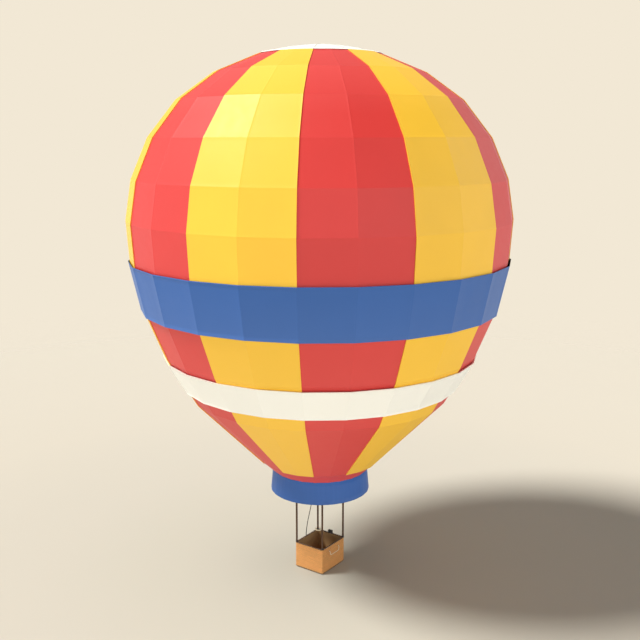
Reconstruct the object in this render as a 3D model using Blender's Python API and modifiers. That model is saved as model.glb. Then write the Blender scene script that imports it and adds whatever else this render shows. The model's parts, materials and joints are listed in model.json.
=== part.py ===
"""Hot air balloon: twelve-gore envelope, crown valve, gimballed double burner and a wicker basket.

Metres, +Z up. The origin is the centre of the crown ring, from which the balloon hangs. The basket's
long side lies along X. Heights inside the script are measured from the envelope's widest ring.
"""

import math

import bmesh
import bpy
from mathutils import Vector

# Fit between touching pieces, and the thickness of envelope fabric with its tapes.
GAP = 0.0003
SHELL = 0.010

# Envelope. Radius and height of each ring of the red gores, from the crown opening down.
WAIST_DROP = 6.564
GORES = 12
FACETS = 2 * GORES
GORE_ANGLE = 2 * math.pi / GORES
OPENING_RADIUS = 2.31
GORE_RINGS = [
    (OPENING_RADIUS, 6.206),
    (2.446, 6.152),
    (4.058, 5.491),
    (5.479, 4.474),
    (6.574, 3.090),
    (7.245, 1.538),
    (7.500, 0.000),
    (7.403, -1.575),
    (6.968, -3.525),
    (6.300, -5.175),
    (5.160, -7.100),
    (2.470, -9.870),
]
MOUTH_RING = (1.965, -10.340)
YELLOW_LIFT = 0.030
MOUTH_SEAM = 0.0009
SEAM_GAP_ANGLE = 0.00015

# Bands round the envelope: outer radius and height at the top edge, then at the bottom edge.
BLUE_BAND = [(7.500, -1.556), (7.083, -3.479)]
WHITE_BAND = [(6.297, -5.365), (5.580, -6.585)]
SKIRT_TOP_RADIUS = 1.964
SKIRT_BOTTOM = (2.043, -11.245)

# Crown: dome of the valve, the tapes over it and the ring on top.
DOME_APEX = 6.550
DOME_RINGS = (0.70, 1.25, 1.80)
DOME_EDGE = 0.012
VALVE_LAP_RADIUS = 2.60
TAPE_THICKNESS = 0.004
TAPE_LIFT = 2 * GAP
PLATE_RISE = 0.003
CROWN_PLATE_INNER = 0.110
CROWN_PLATE_OUTER = 0.190
CROWN_RING_RADIUS = 0.150
CROWN_RING_WIRE = 0.010

# Basket, uprights and load frame.
BASKET_HALF_X = 0.806
BASKET_HALF_Y = 0.707
BASKET_CORNER = 0.045
BASKET_BOTTOM = -14.778
RIM_TOP = -13.665
WALL = 0.040
RIM_HEIGHT = 0.024
RIM_OVERHANG = 0.008
RIM_CORNER = 0.076
RIM_WIDTH = 0.070
RIM_ROUNDING = 0.010
LINING = 0.006
LINING_CORNER = 0.012
BASE_HEIGHT = 0.040
BASE_WIDTH = 0.050
BASE_INSET = 0.030
BASE_CORNER = 0.060
FLOOR_THICKNESS = 0.018
RUNNER_SIZE = (1.42, 0.070, 0.036)
RUNNER_SPACING = 0.44
RUNNER_ROUNDING = 0.006
UPRIGHT_RADIUS = 0.040
UPRIGHT_INSET = 0.046
UPRIGHT_CHAMFER = (0.008, 0.012)
UPRIGHT_FOOT_RADIUS = 0.018
LOAD_FRAME_HEIGHT = -11.620
LOAD_TUBE = 0.0225
LOAD_CORNER = 0.060
BEARING_SIZE = (0.050, 0.060, 0.060)
BEARING_INSET = 0.012
WIRES_PER_CORNER = 3
WIRE_RADIUS = 0.004
WIRE_START = 0.008
WIRE_EYE = 0.030
WIRE_EYE_CLEARANCE = 0.0020
WIRE_END_RISE = 0.045
SHACKLE_SIZE = (0.044, 0.044, 0.060)
SHACKLE_ROUNDING = 0.010

# Gimbal and double burner.
GIMBAL_HALF_X = 0.500
GIMBAL_HALF_Y = 0.300
GIMBAL_CORNER = 0.050
GIMBAL_TUBE = 0.016
GIMBAL_PIN = 0.011
BURNER_SPACING = 0.340
BEAM_RADIUS = 0.015
CARRIER_SIZE = (0.460, 0.100, 0.012)
CARRIER_LIFT = 0.018
VALVE_BLOCK_WIDTH = 0.070
VALVE_BLOCK_ROUNDING = 0.005
CAN_RADIUS = 0.130
CAN_HEIGHT = 0.440
CAN_WALL = 0.004
CAN_LIFT = 0.060
COIL_RADIUS = 0.096
COIL_TUBE = 0.009
COIL_SEAT = 0.0082
COIL_TOP_CLEARANCE = 0.020
COIL_TURNS = 6
COIL_POINTS_PER_TURN = 14

# Gas cylinder in its cover: radius and height above the floor, from the valve down to the foot.
CYLINDER_RADIUS = 0.150
CYLINDER_PROFILE = [
    (0.0, 0.810),
    (0.030, 0.810),
    (0.030, 0.756),
    (0.080, 0.750),
    (0.120, 0.730),
    (CYLINDER_RADIUS, 0.680),
    (CYLINDER_RADIUS, 0.020),
    (0.135, 0.0),
    (0.0, 0.0),
]

# Half of a rope handle: distance from its middle, from the wall, and below the rim.
HANDLE_ROPE = 0.016
HANDLE_HALF = [
    (0.320, GAP, 0.210),
    (0.320, 0.022, 0.210),
    (0.318, 0.055, 0.260),
    (0.304, 0.055, 0.350),
    (0.250, 0.055, 0.393),
    (0.0, 0.055, 0.400),
]

# On the rim: rope ring, instrument box and the line that opens the valve.
ROPE_RING_RADIUS = 0.140
ROPE_RING_WIRE = 0.025
ROPE_RING_OFFSET = (0.030, 0.060)
BOX_SIZE = (0.100, 0.200, 0.130)
BOX_OVERHANG = 0.010
BOX_ROUNDING = 0.012
LINE_RADIUS = 0.015
LINE_ROUTE = [
    (-0.063, 0.682, RIM_TOP + 0.020),
    (-0.062, 0.680, RIM_TOP + 0.160),
    (-0.035, 0.620, -13.000),
    (0.207, 0.575, -12.150),
    (0.282, 0.560, LOAD_FRAME_HEIGHT),
    (0.300, 0.552, LOAD_FRAME_HEIGHT + 0.140),
]

COLLECTION = "hot_air_balloon"


def clear_scene():
    for obj in list(bpy.data.objects):
        bpy.data.objects.remove(obj)


def make_collection(name):
    collection = bpy.data.collections.new(name)
    bpy.context.scene.collection.children.link(collection)
    return collection


def make_material(name, colour, roughness, metallic=0.0):
    material = bpy.data.materials.new(name)
    material.use_nodes = True
    shader = material.node_tree.nodes["Principled BSDF"]
    shader.inputs["Base Color"].default_value = (*colour, 1.0)
    shader.inputs["Roughness"].default_value = roughness
    shader.inputs["Metallic"].default_value = metallic
    return material


def make_materials():
    return {
        "red_fabric": make_material("red_fabric", (0.80, 0.12, 0.10), 0.70),
        "yellow_fabric": make_material("yellow_fabric", (0.95, 0.62, 0.10), 0.70),
        "blue_fabric": make_material("blue_fabric", (0.07, 0.15, 0.38), 0.70),
        "white_fabric": make_material("white_fabric", (0.87, 0.82, 0.70), 0.70),
        "webbing": make_material("webbing", (0.80, 0.78, 0.72), 0.80),
        "alloy": make_material("alloy", (0.70, 0.71, 0.72), 0.35, 1.0),
        "steel": make_material("steel", (0.55, 0.55, 0.56), 0.30, 1.0),
        "padding": make_material("padding", (0.11, 0.06, 0.04), 0.65),
        "wicker": make_material("wicker", (0.62, 0.34, 0.12), 0.75),
        "rim_leather": make_material("rim_leather", (0.20, 0.09, 0.04), 0.55),
        "lining": make_material("lining", (0.14, 0.08, 0.04), 0.80),
        "plywood": make_material("plywood", (0.42, 0.27, 0.13), 0.70),
        "runner_wood": make_material("runner_wood", (0.36, 0.22, 0.11), 0.70),
        "rope": make_material("rope", (0.82, 0.76, 0.62), 0.85),
        "dark_rope": make_material("dark_rope", (0.09, 0.10, 0.08), 0.85),
        "dark_case": make_material("dark_case", (0.04, 0.04, 0.045), 0.50),
    }


def link(obj, place, material):
    """Puts an object in the collection, under the empty that carries it, with its own material."""
    place["collection"].objects.link(obj)
    obj.parent = place["anchor"]
    own = material.copy()
    own.name = obj.name + "_material"
    obj.data.materials.clear()
    obj.data.materials.append(own)
    return obj


def make_empty(name, collection, location=(0, 0, 0), parent=None):
    empty = bpy.data.objects.new(name, None)
    empty.location = location
    empty.parent = parent
    collection.objects.link(empty)
    return empty


def offset_rings(rings, distance):
    """The profile moved out by a distance, each corner mitred. A negative distance moves it in."""
    points = [Vector(ring) for ring in rings]
    normals = []
    for upper, lower in zip(points, points[1:]):
        run = (lower - upper).normalized()
        normals.append(Vector((-run.y, run.x)))
    moved = []
    for index, point in enumerate(points):
        before = normals[max(index - 1, 0)]
        after = normals[min(index, len(normals) - 1)]
        mitre = (before + after) / (1.0 + before.dot(after))
        moved.append(tuple(point + mitre * distance))
    return moved


def radius_at(rings, height):
    """Radius of a profile at a height between its first and last ring."""
    for (upper_r, upper_h), (lower_r, lower_h) in zip(rings, rings[1:]):
        if lower_h <= height <= upper_h:
            share = (upper_h - height) / (upper_h - lower_h)
            return upper_r + share * (lower_r - upper_r)
    raise ValueError("height outside the profile")


def polar(radius, angle, height):
    return Vector((radius * math.cos(angle), radius * math.sin(angle), height))


def spin(shape, outline, angle, steps):
    about_z = {"axis": (0, 0, 1), "cent": (0, 0, 0)}
    bmesh.ops.spin(shape, geom=outline, angle=angle, steps=steps, use_merge=False, **about_z)


def spun_surface(rings, start, end, steps):
    """Open surface made by turning a profile from one angle to another. Faces point out."""
    shape = bmesh.new()
    verts = [shape.verts.new(polar(radius, start, height)) for radius, height in rings]
    edges = [shape.edges.new(pair) for pair in zip(verts, verts[1:])]
    spin(shape, verts + edges, end - start, steps)
    bmesh.ops.remove_doubles(shape, verts=shape.verts, dist=1e-5)
    outward = sum(face.normal.dot(face.calc_center_median()) for face in shape.faces)
    if outward < 0:
        bmesh.ops.reverse_faces(shape, faces=shape.faces)
    return shape


def fold_sides_in(shape, rings, start, end):
    """Turns the two straight edges of a gore in, down to the profile given."""
    for angle in (start, end):
        outer = [vert for vert in shape.verts if abs(math.atan2(vert.co.y, vert.co.x) - angle) < 1e-5]
        members = set(outer)
        side = [edge for edge in shape.edges if edge.is_boundary and members.issuperset(edge.verts)]
        extruded = bmesh.ops.extrude_edge_only(shape, edges=side)["geom"]
        inner = [item for item in extruded if isinstance(item, bmesh.types.BMVert)]
        inner.sort(key=lambda vert: -vert.co.z)
        for vert, (radius, height) in zip(inner, rings):
            vert.co = polar(radius, angle, height)
    shape.normal_update()


def mesh_object(name, shape, place, material):
    mesh = bpy.data.meshes.new(name)
    shape.to_mesh(mesh)
    shape.free()
    return link(bpy.data.objects.new(name, mesh), place, material)


def solidify(obj, thickness, offset):
    modifier = obj.modifiers.new("thickness", "SOLIDIFY")
    modifier.thickness = thickness
    modifier.offset = offset
    modifier.use_even_offset = True
    return obj


def bevel(obj, width, segments=2):
    modifier = obj.modifiers.new("rounded_edges", "BEVEL")
    modifier.width = width
    modifier.segments = segments
    modifier.limit_method = "ANGLE"
    return obj


def turned(name, profile, place, material, steps, closed=True, smooth=True):
    """Screw of an outline of (radius, height) points. An open one begins and ends on the axis."""
    mesh = bpy.data.meshes.new(name)
    count = len(profile)
    edges = [(index, (index + 1) % count) for index in range(count if closed else count - 1)]
    mesh.from_pydata([(radius, 0.0, height) for radius, height in profile], edges, [])
    obj = link(bpy.data.objects.new(name, mesh), place, material)
    screw = obj.modifiers.new("turn", "SCREW")
    screw.axis = "Z"
    screw.steps = steps
    screw.render_steps = steps
    screw.use_merge_vertices = True
    screw.merge_threshold = 0.00001
    screw.use_smooth_shade = smooth
    return obj


def turned_arc(name, profile, start, end, steps, place, material):
    """Closed outline of (radius, height) points turned from one angle to another, with flat ends."""
    shape = bmesh.new()
    verts = [shape.verts.new(polar(radius, start, height)) for radius, height in profile]
    edges = [shape.edges.new(pair) for pair in zip(verts, verts[1:] + verts[:1])]
    spin(shape, verts + edges, end - start, steps)
    bmesh.ops.holes_fill(shape, edges=[edge for edge in shape.edges if edge.is_boundary], sides=0)
    bmesh.ops.recalc_face_normals(shape, faces=shape.faces)
    return mesh_object(name, shape, place, material)


def tube(name, points, radius, place, material, closed=False, resolution=2):
    """Round bar along straight runs between points."""
    curve = bpy.data.curves.new(name, "CURVE")
    curve.dimensions = "3D"
    curve.bevel_depth = radius
    curve.bevel_resolution = resolution
    curve.use_fill_caps = not closed
    spline = curve.splines.new("POLY")
    spline.points.add(len(points) - 1)
    for target, point in zip(spline.points, points):
        target.co = (*point, 1.0)
    spline.use_cyclic_u = closed
    return link(bpy.data.objects.new(name, curve), place, material)


def smooth_path(route, steps):
    """Points of a curve that passes through every point of a route."""
    route = [Vector(point) for point in route]
    padded = [2 * route[0] - route[1], *route, 2 * route[-1] - route[-2]]
    path = []
    for before, start, end, after in zip(padded, padded[1:], padded[2:], padded[3:]):
        for step in range(steps):
            t = step / steps
            slope = (end - before) * t
            curve = (2 * before - 5 * start + 4 * end - after) * t**2
            twist = (3 * start - before - 3 * end + after) * t**3
            path.append((2 * start + slope + curve + twist) / 2)
    path.append(route[-1])
    return path


def rounded_rectangle(half_x, half_y, corner, height, segments=4):
    """Corner-rounded outline, counter-clockwise seen from above."""
    points = []
    for quarter, (side_x, side_y) in enumerate([(1, 1), (-1, 1), (-1, -1), (1, -1)]):
        centre_x = side_x * (half_x - corner)
        centre_y = side_y * (half_y - corner)
        for step in range(segments + 1):
            angle = (quarter + step / segments) * math.pi / 2
            points.append((centre_x + corner * math.cos(angle), centre_y + corner * math.sin(angle), height))
    return points


def frame_wall(name, half_x, half_y, corner, bottom, top, thickness, place, material):
    """Upright wall that follows a rounded rectangle, thickness inwards from the outline."""
    shape = bmesh.new()
    lower = [shape.verts.new(point) for point in rounded_rectangle(half_x, half_y, corner, bottom)]
    upper = [shape.verts.new(point) for point in rounded_rectangle(half_x, half_y, corner, top)]
    count = len(lower)
    for index in range(count):
        after = (index + 1) % count
        shape.faces.new((lower[index], lower[after], upper[after], upper[index]))
    return solidify(mesh_object(name, shape, place, material), thickness, -1.0)


def slab(name, half_x, half_y, corner, bottom, top, place, material):
    """Flat board with a rounded rectangular outline."""
    shape = bmesh.new()
    outline = [shape.verts.new(point) for point in rounded_rectangle(half_x, half_y, corner, bottom)]
    shape.faces.new(outline)
    return solidify(mesh_object(name, shape, place, material), top - bottom, 1.0)


def block(name, size, centre, place, material):
    shape = bmesh.new()
    bmesh.ops.create_cube(shape, size=1.0)
    bmesh.ops.scale(shape, vec=size, verts=shape.verts)
    obj = mesh_object(name, shape, place, material)
    obj.location = centre
    return obj


def as_mesh(obj):
    """Curve object turned into a closed mesh object of the same name and place."""
    name = obj.name
    bpy.context.view_layer.update()
    graph = bpy.context.evaluated_depsgraph_get()
    mesh = bpy.data.meshes.new_from_object(obj.evaluated_get(graph))
    shape = bmesh.new()
    shape.from_mesh(mesh)
    bmesh.ops.remove_doubles(shape, verts=shape.verts, dist=0.00002)
    shape.to_mesh(mesh)
    shape.free()
    collection = obj.users_collection[0]
    parent = obj.parent
    place_in_parent = obj.matrix_local.copy()
    bpy.data.objects.remove(obj)
    solid = bpy.data.objects.new(name, mesh)
    collection.objects.link(solid)
    solid.parent = parent
    solid.matrix_local = place_in_parent
    return solid


def join(base, other):
    """Boolean union of another object into the base. The other one stays as a hidden cutter."""
    union = base.modifiers.new("with_" + other.name, "BOOLEAN")
    union.operation = "UNION"
    union.solver = "EXACT"
    union.object = other
    other.hide_render = True
    other.display_type = "WIRE"
    for collection in list(other.users_collection):
        collection.objects.unlink(other)
    bpy.data.collections["cutters"].objects.link(other)


def red_gore(index, place, materials):
    """Two flat facets of red fabric, between two yellow gores."""
    start = SEAM_GAP_ANGLE
    end = GORE_ANGLE - SEAM_GAP_ANGLE
    shape = spun_surface(offset_rings(GORE_RINGS, -SHELL), start, end, 2)
    obj = mesh_object(f"gore_red_{index + 1}", shape, place, materials["red_fabric"])
    obj.rotation_euler.z = GORE_ANGLE * (2 * index + 1)
    return solidify(obj, SHELL, 1.0)


def yellow_gore(index, place, materials):
    """Raised gore with its two long edges turned in to the depth of the red fabric."""
    start = SEAM_GAP_ANGLE
    end = GORE_ANGLE - SEAM_GAP_ANGLE
    shape = spun_surface(offset_rings(GORE_RINGS, YELLOW_LIFT), start, end, 2)
    fold_sides_in(shape, offset_rings(GORE_RINGS, -SHELL), start, end)
    obj = mesh_object(f"gore_yellow_{index + 1}", shape, place, materials["yellow_fabric"])
    obj.rotation_euler.z = GORE_ANGLE * 2 * index
    return solidify(obj, SHELL, -1.0)


def mouth_band(place, materials):
    """Red ring of fabric between the ends of the yellow gores and the skirt."""
    upper_r, upper_h = GORE_RINGS[-1]
    run = (Vector(MOUTH_RING) - Vector(GORE_RINGS[-1])).normalized()
    inward = Vector((run.y, -run.x)) * SHELL
    top = Vector((upper_r, upper_h)) + run * MOUTH_SEAM
    bottom = Vector(MOUTH_RING)
    profile = [top, bottom, bottom + inward, top + inward]
    return turned("mouth_band", profile, place, materials["red_fabric"], FACETS, smooth=False)


def band(name, edges, folds, place, material):
    """Straight band round the envelope in two halves, with its edges turned in to the yellow gores."""
    (top_r, top_h), (bottom_r, bottom_h) = edges
    seat = offset_rings(GORE_RINGS, YELLOW_LIFT + GAP)
    profile = [(top_r, top_h), (bottom_r, bottom_h)]
    if "bottom" in folds:
        profile += [(radius_at(seat, bottom_h), bottom_h)]
        profile += [(radius_at(seat, bottom_h + SHELL), bottom_h + SHELL)]
    slope = (top_r - bottom_r) / (top_h - bottom_h)
    inner_bottom = bottom_h + SHELL if "bottom" in folds else bottom_h
    inner_top = top_h - SHELL if "top" in folds else top_h
    profile += [(bottom_r - SHELL + slope * (inner_bottom - bottom_h), inner_bottom)]
    profile += [(top_r - SHELL - slope * (top_h - inner_top), inner_top)]
    if "top" in folds:
        profile += [(radius_at(seat, top_h - SHELL), top_h - SHELL)]
        profile += [(radius_at(seat, top_h), top_h)]
    gap_angle = GAP / top_r
    for half, label in enumerate(("back", "front")):
        start = half * math.pi + gap_angle
        end = (half + 1) * math.pi - gap_angle
        turned_arc(f"{name}_{label}", profile, start, end, GORES, place, material)


def skirt(place, materials):
    """Short blue tube below the mouth, a little wider at its free edge."""
    bottom_r, bottom_h = SKIRT_BOTTOM
    top_h = MOUTH_RING[1] - GAP
    profile = [
        (SKIRT_TOP_RADIUS, top_h),
        (bottom_r, bottom_h),
        (bottom_r - SHELL, bottom_h),
        (SKIRT_TOP_RADIUS - SHELL, top_h),
    ]
    return turned("skirt", profile, place, materials["blue_fabric"], FACETS, smooth=False)


def dome_height(radius):
    """Height of the valve's dome: a shallow bowl upside down, down to the crown opening."""
    seat = offset_rings(GORE_RINGS, -SHELL - GAP)
    edge = seat[0][1]
    return DOME_APEX - (DOME_APEX - edge) * (radius / OPENING_RADIUS) ** 2


def dome_radii():
    return [CROWN_PLATE_OUTER, *DOME_RINGS, OPENING_RADIUS - DOME_EDGE]


def crown_valve(place, materials):
    """White panel that closes the crown opening from the inside, its edge lapped under the gores."""
    seat = offset_rings(GORE_RINGS, -SHELL - GAP)
    outer = [(0.0, DOME_APEX)]
    outer += [(radius, dome_height(radius)) for radius in dome_radii()]
    outer += [seat[0], seat[1], (VALVE_LAP_RADIUS, lap_height(seat))]
    inner = [(radius, height - SHELL) for radius, height in reversed(outer)]
    return turned(
        "crown_valve", outer + inner, place, materials["white_fabric"], FACETS, closed=False, smooth=False
    )


def lap_height(seat):
    """Height of the seat under the gores at the edge of the valve."""
    (upper_r, upper_h), (lower_r, lower_h) = seat[1], seat[2]
    share = (VALVE_LAP_RADIUS - upper_r) / (lower_r - upper_r)
    return upper_h + share * (lower_h - upper_h)


def crown_tapes(place, materials):
    """Twelve load tapes over the valve, sewn to a plate at the crown. One surface, made thick."""
    shape = bmesh.new()
    count = FACETS
    angles = [(index + 0.5) * 2 * math.pi / count for index in range(count)]
    plate_height = dome_height(CROWN_PLATE_OUTER)
    inner = [shape.verts.new(polar(CROWN_PLATE_INNER, angle, plate_height + PLATE_RISE)) for angle in angles]
    outer = [shape.verts.new(polar(CROWN_PLATE_OUTER, angle, plate_height + TAPE_LIFT)) for angle in angles]
    half_width = CROWN_PLATE_OUTER * math.sin(math.pi / count)
    for index in range(count):
        after = (index + 1) % count
        shape.faces.new((inner[index], outer[index], outer[after], inner[after]))
        if index % 2 == 0:
            continue
        middle = (index + 1) * 2 * math.pi / count
        across = Vector((-math.sin(middle), math.cos(middle), 0.0)) * half_width
        left, right = outer[index], outer[after]
        for radius in dome_radii()[1:]:
            centre = polar(radius, middle, dome_height(radius) + TAPE_LIFT)
            next_left = shape.verts.new(centre - across)
            next_right = shape.verts.new(centre + across)
            shape.faces.new((left, next_left, next_right, right))
            left, right = next_left, next_right
    shape.normal_update()
    obj = mesh_object("crown_tapes", shape, place, materials["webbing"])
    return solidify(obj, TAPE_THICKNESS, 1.0)


def torus(name, major, minor, place, material, segments=32):
    """Ring of round bar, flat on the XY plane."""
    points = [polar(major, 2 * math.pi * index / segments, 0.0) for index in range(segments)]
    return tube(name, points, minor, place, material, closed=True)


def crown(place, materials):
    crown_valve_place = dict(place, anchor=place["valve"])
    crown_valve(crown_valve_place, materials)
    crown_tapes(place, materials)
    ring = torus("crown_ring", CROWN_RING_RADIUS, CROWN_RING_WIRE, place, materials["alloy"])
    ring.location.z = WAIST_DROP


def basket(place, materials):
    """Woven box with its rim, lining, floor, base binding and runners."""
    floor_bottom = BASKET_BOTTOM + BASE_HEIGHT + GAP
    floor_top = floor_bottom + FLOOR_THICKNESS
    wall_bottom = floor_top + GAP
    rim_bottom = RIM_TOP - RIM_HEIGHT
    wall_top = rim_bottom - GAP
    inner_x = BASKET_HALF_X - WALL - GAP
    inner_y = BASKET_HALF_Y - WALL - GAP
    frame_wall(
        "basket_wall", BASKET_HALF_X, BASKET_HALF_Y, BASKET_CORNER, wall_bottom, wall_top, WALL, place,
        materials["wicker"],
    )
    frame_wall(
        "basket_lining", inner_x, inner_y, LINING_CORNER, wall_bottom, wall_top, LINING, place,
        materials["lining"],
    )
    rim = frame_wall(
        "basket_rim", BASKET_HALF_X + RIM_OVERHANG, BASKET_HALF_Y + RIM_OVERHANG,
        RIM_CORNER, rim_bottom, RIM_TOP, RIM_WIDTH, place, materials["rim_leather"],
    )
    bevel(rim, RIM_ROUNDING)
    slab(
        "basket_floor", BASKET_HALF_X, BASKET_HALF_Y, BASKET_CORNER, floor_bottom, floor_top, place,
        materials["plywood"],
    )
    frame_wall(
        "base_binding", BASKET_HALF_X - BASE_INSET, BASKET_HALF_Y - BASE_INSET, BASE_CORNER, BASKET_BOTTOM,
        BASKET_BOTTOM + BASE_HEIGHT, BASE_WIDTH, place, materials["rim_leather"],
    )
    for index in (-1, 0, 1):
        centre = (0.0, index * RUNNER_SPACING, floor_bottom - GAP - RUNNER_SIZE[2] / 2)
        runner = block(f"runner_{index + 2}", RUNNER_SIZE, centre, place, materials["runner_wood"])
        bevel(runner, RUNNER_ROUNDING, 1)


def upright_corners():
    half_x = BASKET_HALF_X - UPRIGHT_INSET
    half_y = BASKET_HALF_Y - UPRIGHT_INSET
    return [(half_x, half_y), (-half_x, half_y), (-half_x, -half_y), (half_x, -half_y)]


def uprights(place, materials):
    bottom = RIM_TOP + GAP
    top = LOAD_FRAME_HEIGHT - LOAD_TUBE - GAP
    across, along = UPRIGHT_CHAMFER
    profile = [
        (0.0, top),
        (UPRIGHT_RADIUS - across, top),
        (UPRIGHT_RADIUS, top - along),
        (UPRIGHT_RADIUS, bottom + along),
        (UPRIGHT_FOOT_RADIUS, bottom),
        (0.0, bottom),
    ]
    for index, (x, y) in enumerate(upright_corners()):
        upright = turned(f"upright_{index + 1}", profile, place, materials["padding"], 12, closed=False)
        upright.location = (x, y, 0.0)


def load_frame(place, materials):
    """Rectangle of alloy tube on the uprights, with two bearing blocks for the gimbal."""
    half_x, half_y = upright_corners()[0]
    points = rounded_rectangle(half_x, half_y, LOAD_CORNER, LOAD_FRAME_HEIGHT, segments=4)
    frame = as_mesh(tube("load_frame", points, LOAD_TUBE, place, materials["alloy"], closed=True))
    for label, side in (("left", -1), ("right", 1)):
        centre = (side * (half_x - LOAD_TUBE - BEARING_INSET), 0.0, LOAD_FRAME_HEIGHT)
        join(frame, block(f"bearing_{label}", BEARING_SIZE, centre, place, materials["alloy"]))
    return frame


def wire_eye(name, angle, place, materials):
    """Block that ties a wire to a seam, flat against the inside of the mouth band."""
    upper, lower = Vector(GORE_RINGS[-1]), Vector(MOUTH_RING)
    run = (upper - lower).normalized()
    surface = lower + run * WIRE_END_RISE + Vector((-run.y, run.x)) * SHELL
    centre = surface + Vector((-run.y, run.x)) * (WIRE_EYE / 2 + WIRE_EYE_CLEARANCE)
    size = (WIRE_EYE, WIRE_EYE, WIRE_EYE)
    eye = block(name, size, polar(centre.x, angle, centre.y), place, materials["steel"])
    eye.rotation_euler = (0.0, math.atan2(run.x, run.y), angle)
    return eye


def flying_wires(place, materials):
    """Three wires from each corner of the load frame to three seams of the mouth band."""
    corner_cut = LOAD_CORNER * (1.0 - math.sqrt(0.5))
    for index, (x, y) in enumerate(upright_corners()):
        seat_x = x - math.copysign(corner_cut, x)
        seat_y = y - math.copysign(corner_cut, y)
        bottom = Vector((seat_x, seat_y, LOAD_FRAME_HEIGHT + LOAD_TUBE + GAP))
        shackle_centre = bottom + Vector((0, 0, SHACKLE_SIZE[2] / 2))
        shackle = block(f"flying_wires_{index + 1}", SHACKLE_SIZE, shackle_centre, place, materials["steel"])
        bevel(shackle, SHACKLE_ROUNDING, 1)
        for step in range(WIRES_PER_CORNER):
            angle = (WIRES_PER_CORNER * index + step) * GORE_ANGLE
            eye = wire_eye(f"eye_{index + 1}_{step + 1}", angle, place, materials)
            end = eye.location.copy()
            run = (end - shackle_centre).normalized()
            route = [shackle_centre + run * WIRE_START, end]
            wire_name = f"wire_{index + 1}_{step + 1}"
            wire = as_mesh(tube(wire_name, route, WIRE_RADIUS, place, materials["steel"], resolution=1))
            join(shackle, wire)
            join(shackle, eye)


def gimbal(place, materials):
    """Rectangular ring that tilts about X in the load frame, with a bearing pin at each end."""
    half_x = upright_corners()[0][0]
    anchor = dict(place, anchor=place["gimbal"])
    points = rounded_rectangle(GIMBAL_HALF_X, GIMBAL_HALF_Y, GIMBAL_CORNER, 0.0, segments=3)
    ring = as_mesh(tube("gimbal_frame", points, GIMBAL_TUBE, anchor, materials["alloy"], closed=True))
    pin_end = half_x - LOAD_TUBE - BEARING_INSET - BEARING_SIZE[0] / 2 - GAP
    for label, side in (("left", -1), ("right", 1)):
        ends = [(side * GIMBAL_HALF_X, 0, 0), (side * pin_end, 0, 0)]
        join(ring, as_mesh(tube(f"gimbal_pin_{label}", ends, GIMBAL_PIN, anchor, materials["alloy"])))
    return ring


def burner(place, materials):
    """Double burner on a crossbeam that tilts about Y in the gimbal."""
    anchor = dict(place, anchor=place["burner"])
    beam_half = GIMBAL_HALF_Y - GIMBAL_TUBE - GAP
    beam_ends = [(0, -beam_half, 0), (0, beam_half, 0)]
    beam = as_mesh(tube("burner_beam", beam_ends, BEAM_RADIUS, anchor, materials["alloy"]))
    join(beam, block("burner_carrier", CARRIER_SIZE, (0, 0, CARRIER_LIFT), anchor, materials["alloy"]))
    carrier_top = CARRIER_LIFT + CARRIER_SIZE[2] / 2
    for side, label in ((-1, "left"), (1, "right")):
        x = side * BURNER_SPACING / 2
        base = CAN_LIFT
        top = base + CAN_HEIGHT
        profile = [
            (CAN_RADIUS, top),
            (CAN_RADIUS, base),
            (0.0, base),
            (0.0, base + CAN_WALL),
            (CAN_RADIUS - CAN_WALL, base + CAN_WALL),
            (CAN_RADIUS - CAN_WALL, top),
        ]
        can = turned(f"burner_can_{label}", profile, anchor, materials["steel"], 24)
        can.location.x = x
        valve_size = (VALVE_BLOCK_WIDTH, VALVE_BLOCK_WIDTH, base - carrier_top - 2 * GAP)
        valve_centre = (x, 0, (base + carrier_top) / 2)
        valve = block(f"burner_valve_{label}", valve_size, valve_centre, anchor, materials["steel"])
        bevel(valve, VALVE_BLOCK_ROUNDING, 1)
        coil(label, x, base + CAN_WALL + COIL_SEAT, anchor, materials)


def coil(label, x, start, anchor, materials):
    """Vapour coil inside a can."""
    pitch = (CAN_HEIGHT - CAN_WALL - 2 * COIL_TUBE - COIL_TOP_CLEARANCE) / COIL_TURNS
    count = COIL_TURNS * COIL_POINTS_PER_TURN
    turns = [index / COIL_POINTS_PER_TURN for index in range(count + 1)]
    points = [polar(COIL_RADIUS, 2 * math.pi * turn, start + pitch * turn) for turn in turns]
    obj = tube(f"burner_coil_{label}", points, COIL_TUBE, anchor, materials["steel"], resolution=1)
    obj.location.x = x
    return obj


def cylinders(place, materials):
    """Two gas cylinders in padded covers, in opposite corners of the basket."""
    foot = BASKET_BOTTOM + BASE_HEIGHT + FLOOR_THICKNESS + 2 * GAP
    profile = [(radius, foot + height) for radius, height in CYLINDER_PROFILE]
    clear = WALL + LINING + CYLINDER_RADIUS + 3 * GAP
    half_x = BASKET_HALF_X - clear
    half_y = BASKET_HALF_Y - clear
    for label, side in (("left", -1), ("right", 1)):
        cylinder = turned(f"gas_cylinder_{label}", profile, place, materials["padding"], 20, closed=False)
        cylinder.location = (side * half_x, -side * half_y, 0.0)


def rope_handle(label, side, place, materials):
    """Rope loop with both ends in the basket wall."""
    route = []
    for reach, stand_off, drop in HANDLE_HALF:
        route.append((-reach, side * (BASKET_HALF_Y + stand_off), RIM_TOP - drop))
    for reach, stand_off, drop in reversed(HANDLE_HALF[:-1]):
        route.append((reach, side * (BASKET_HALF_Y + stand_off), RIM_TOP - drop))
    path = [route[0], *smooth_path(route[1:-1], 4), route[-1]]
    tube(f"rope_handle_{label}", path, HANDLE_ROPE, place, materials["rope"])


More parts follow.
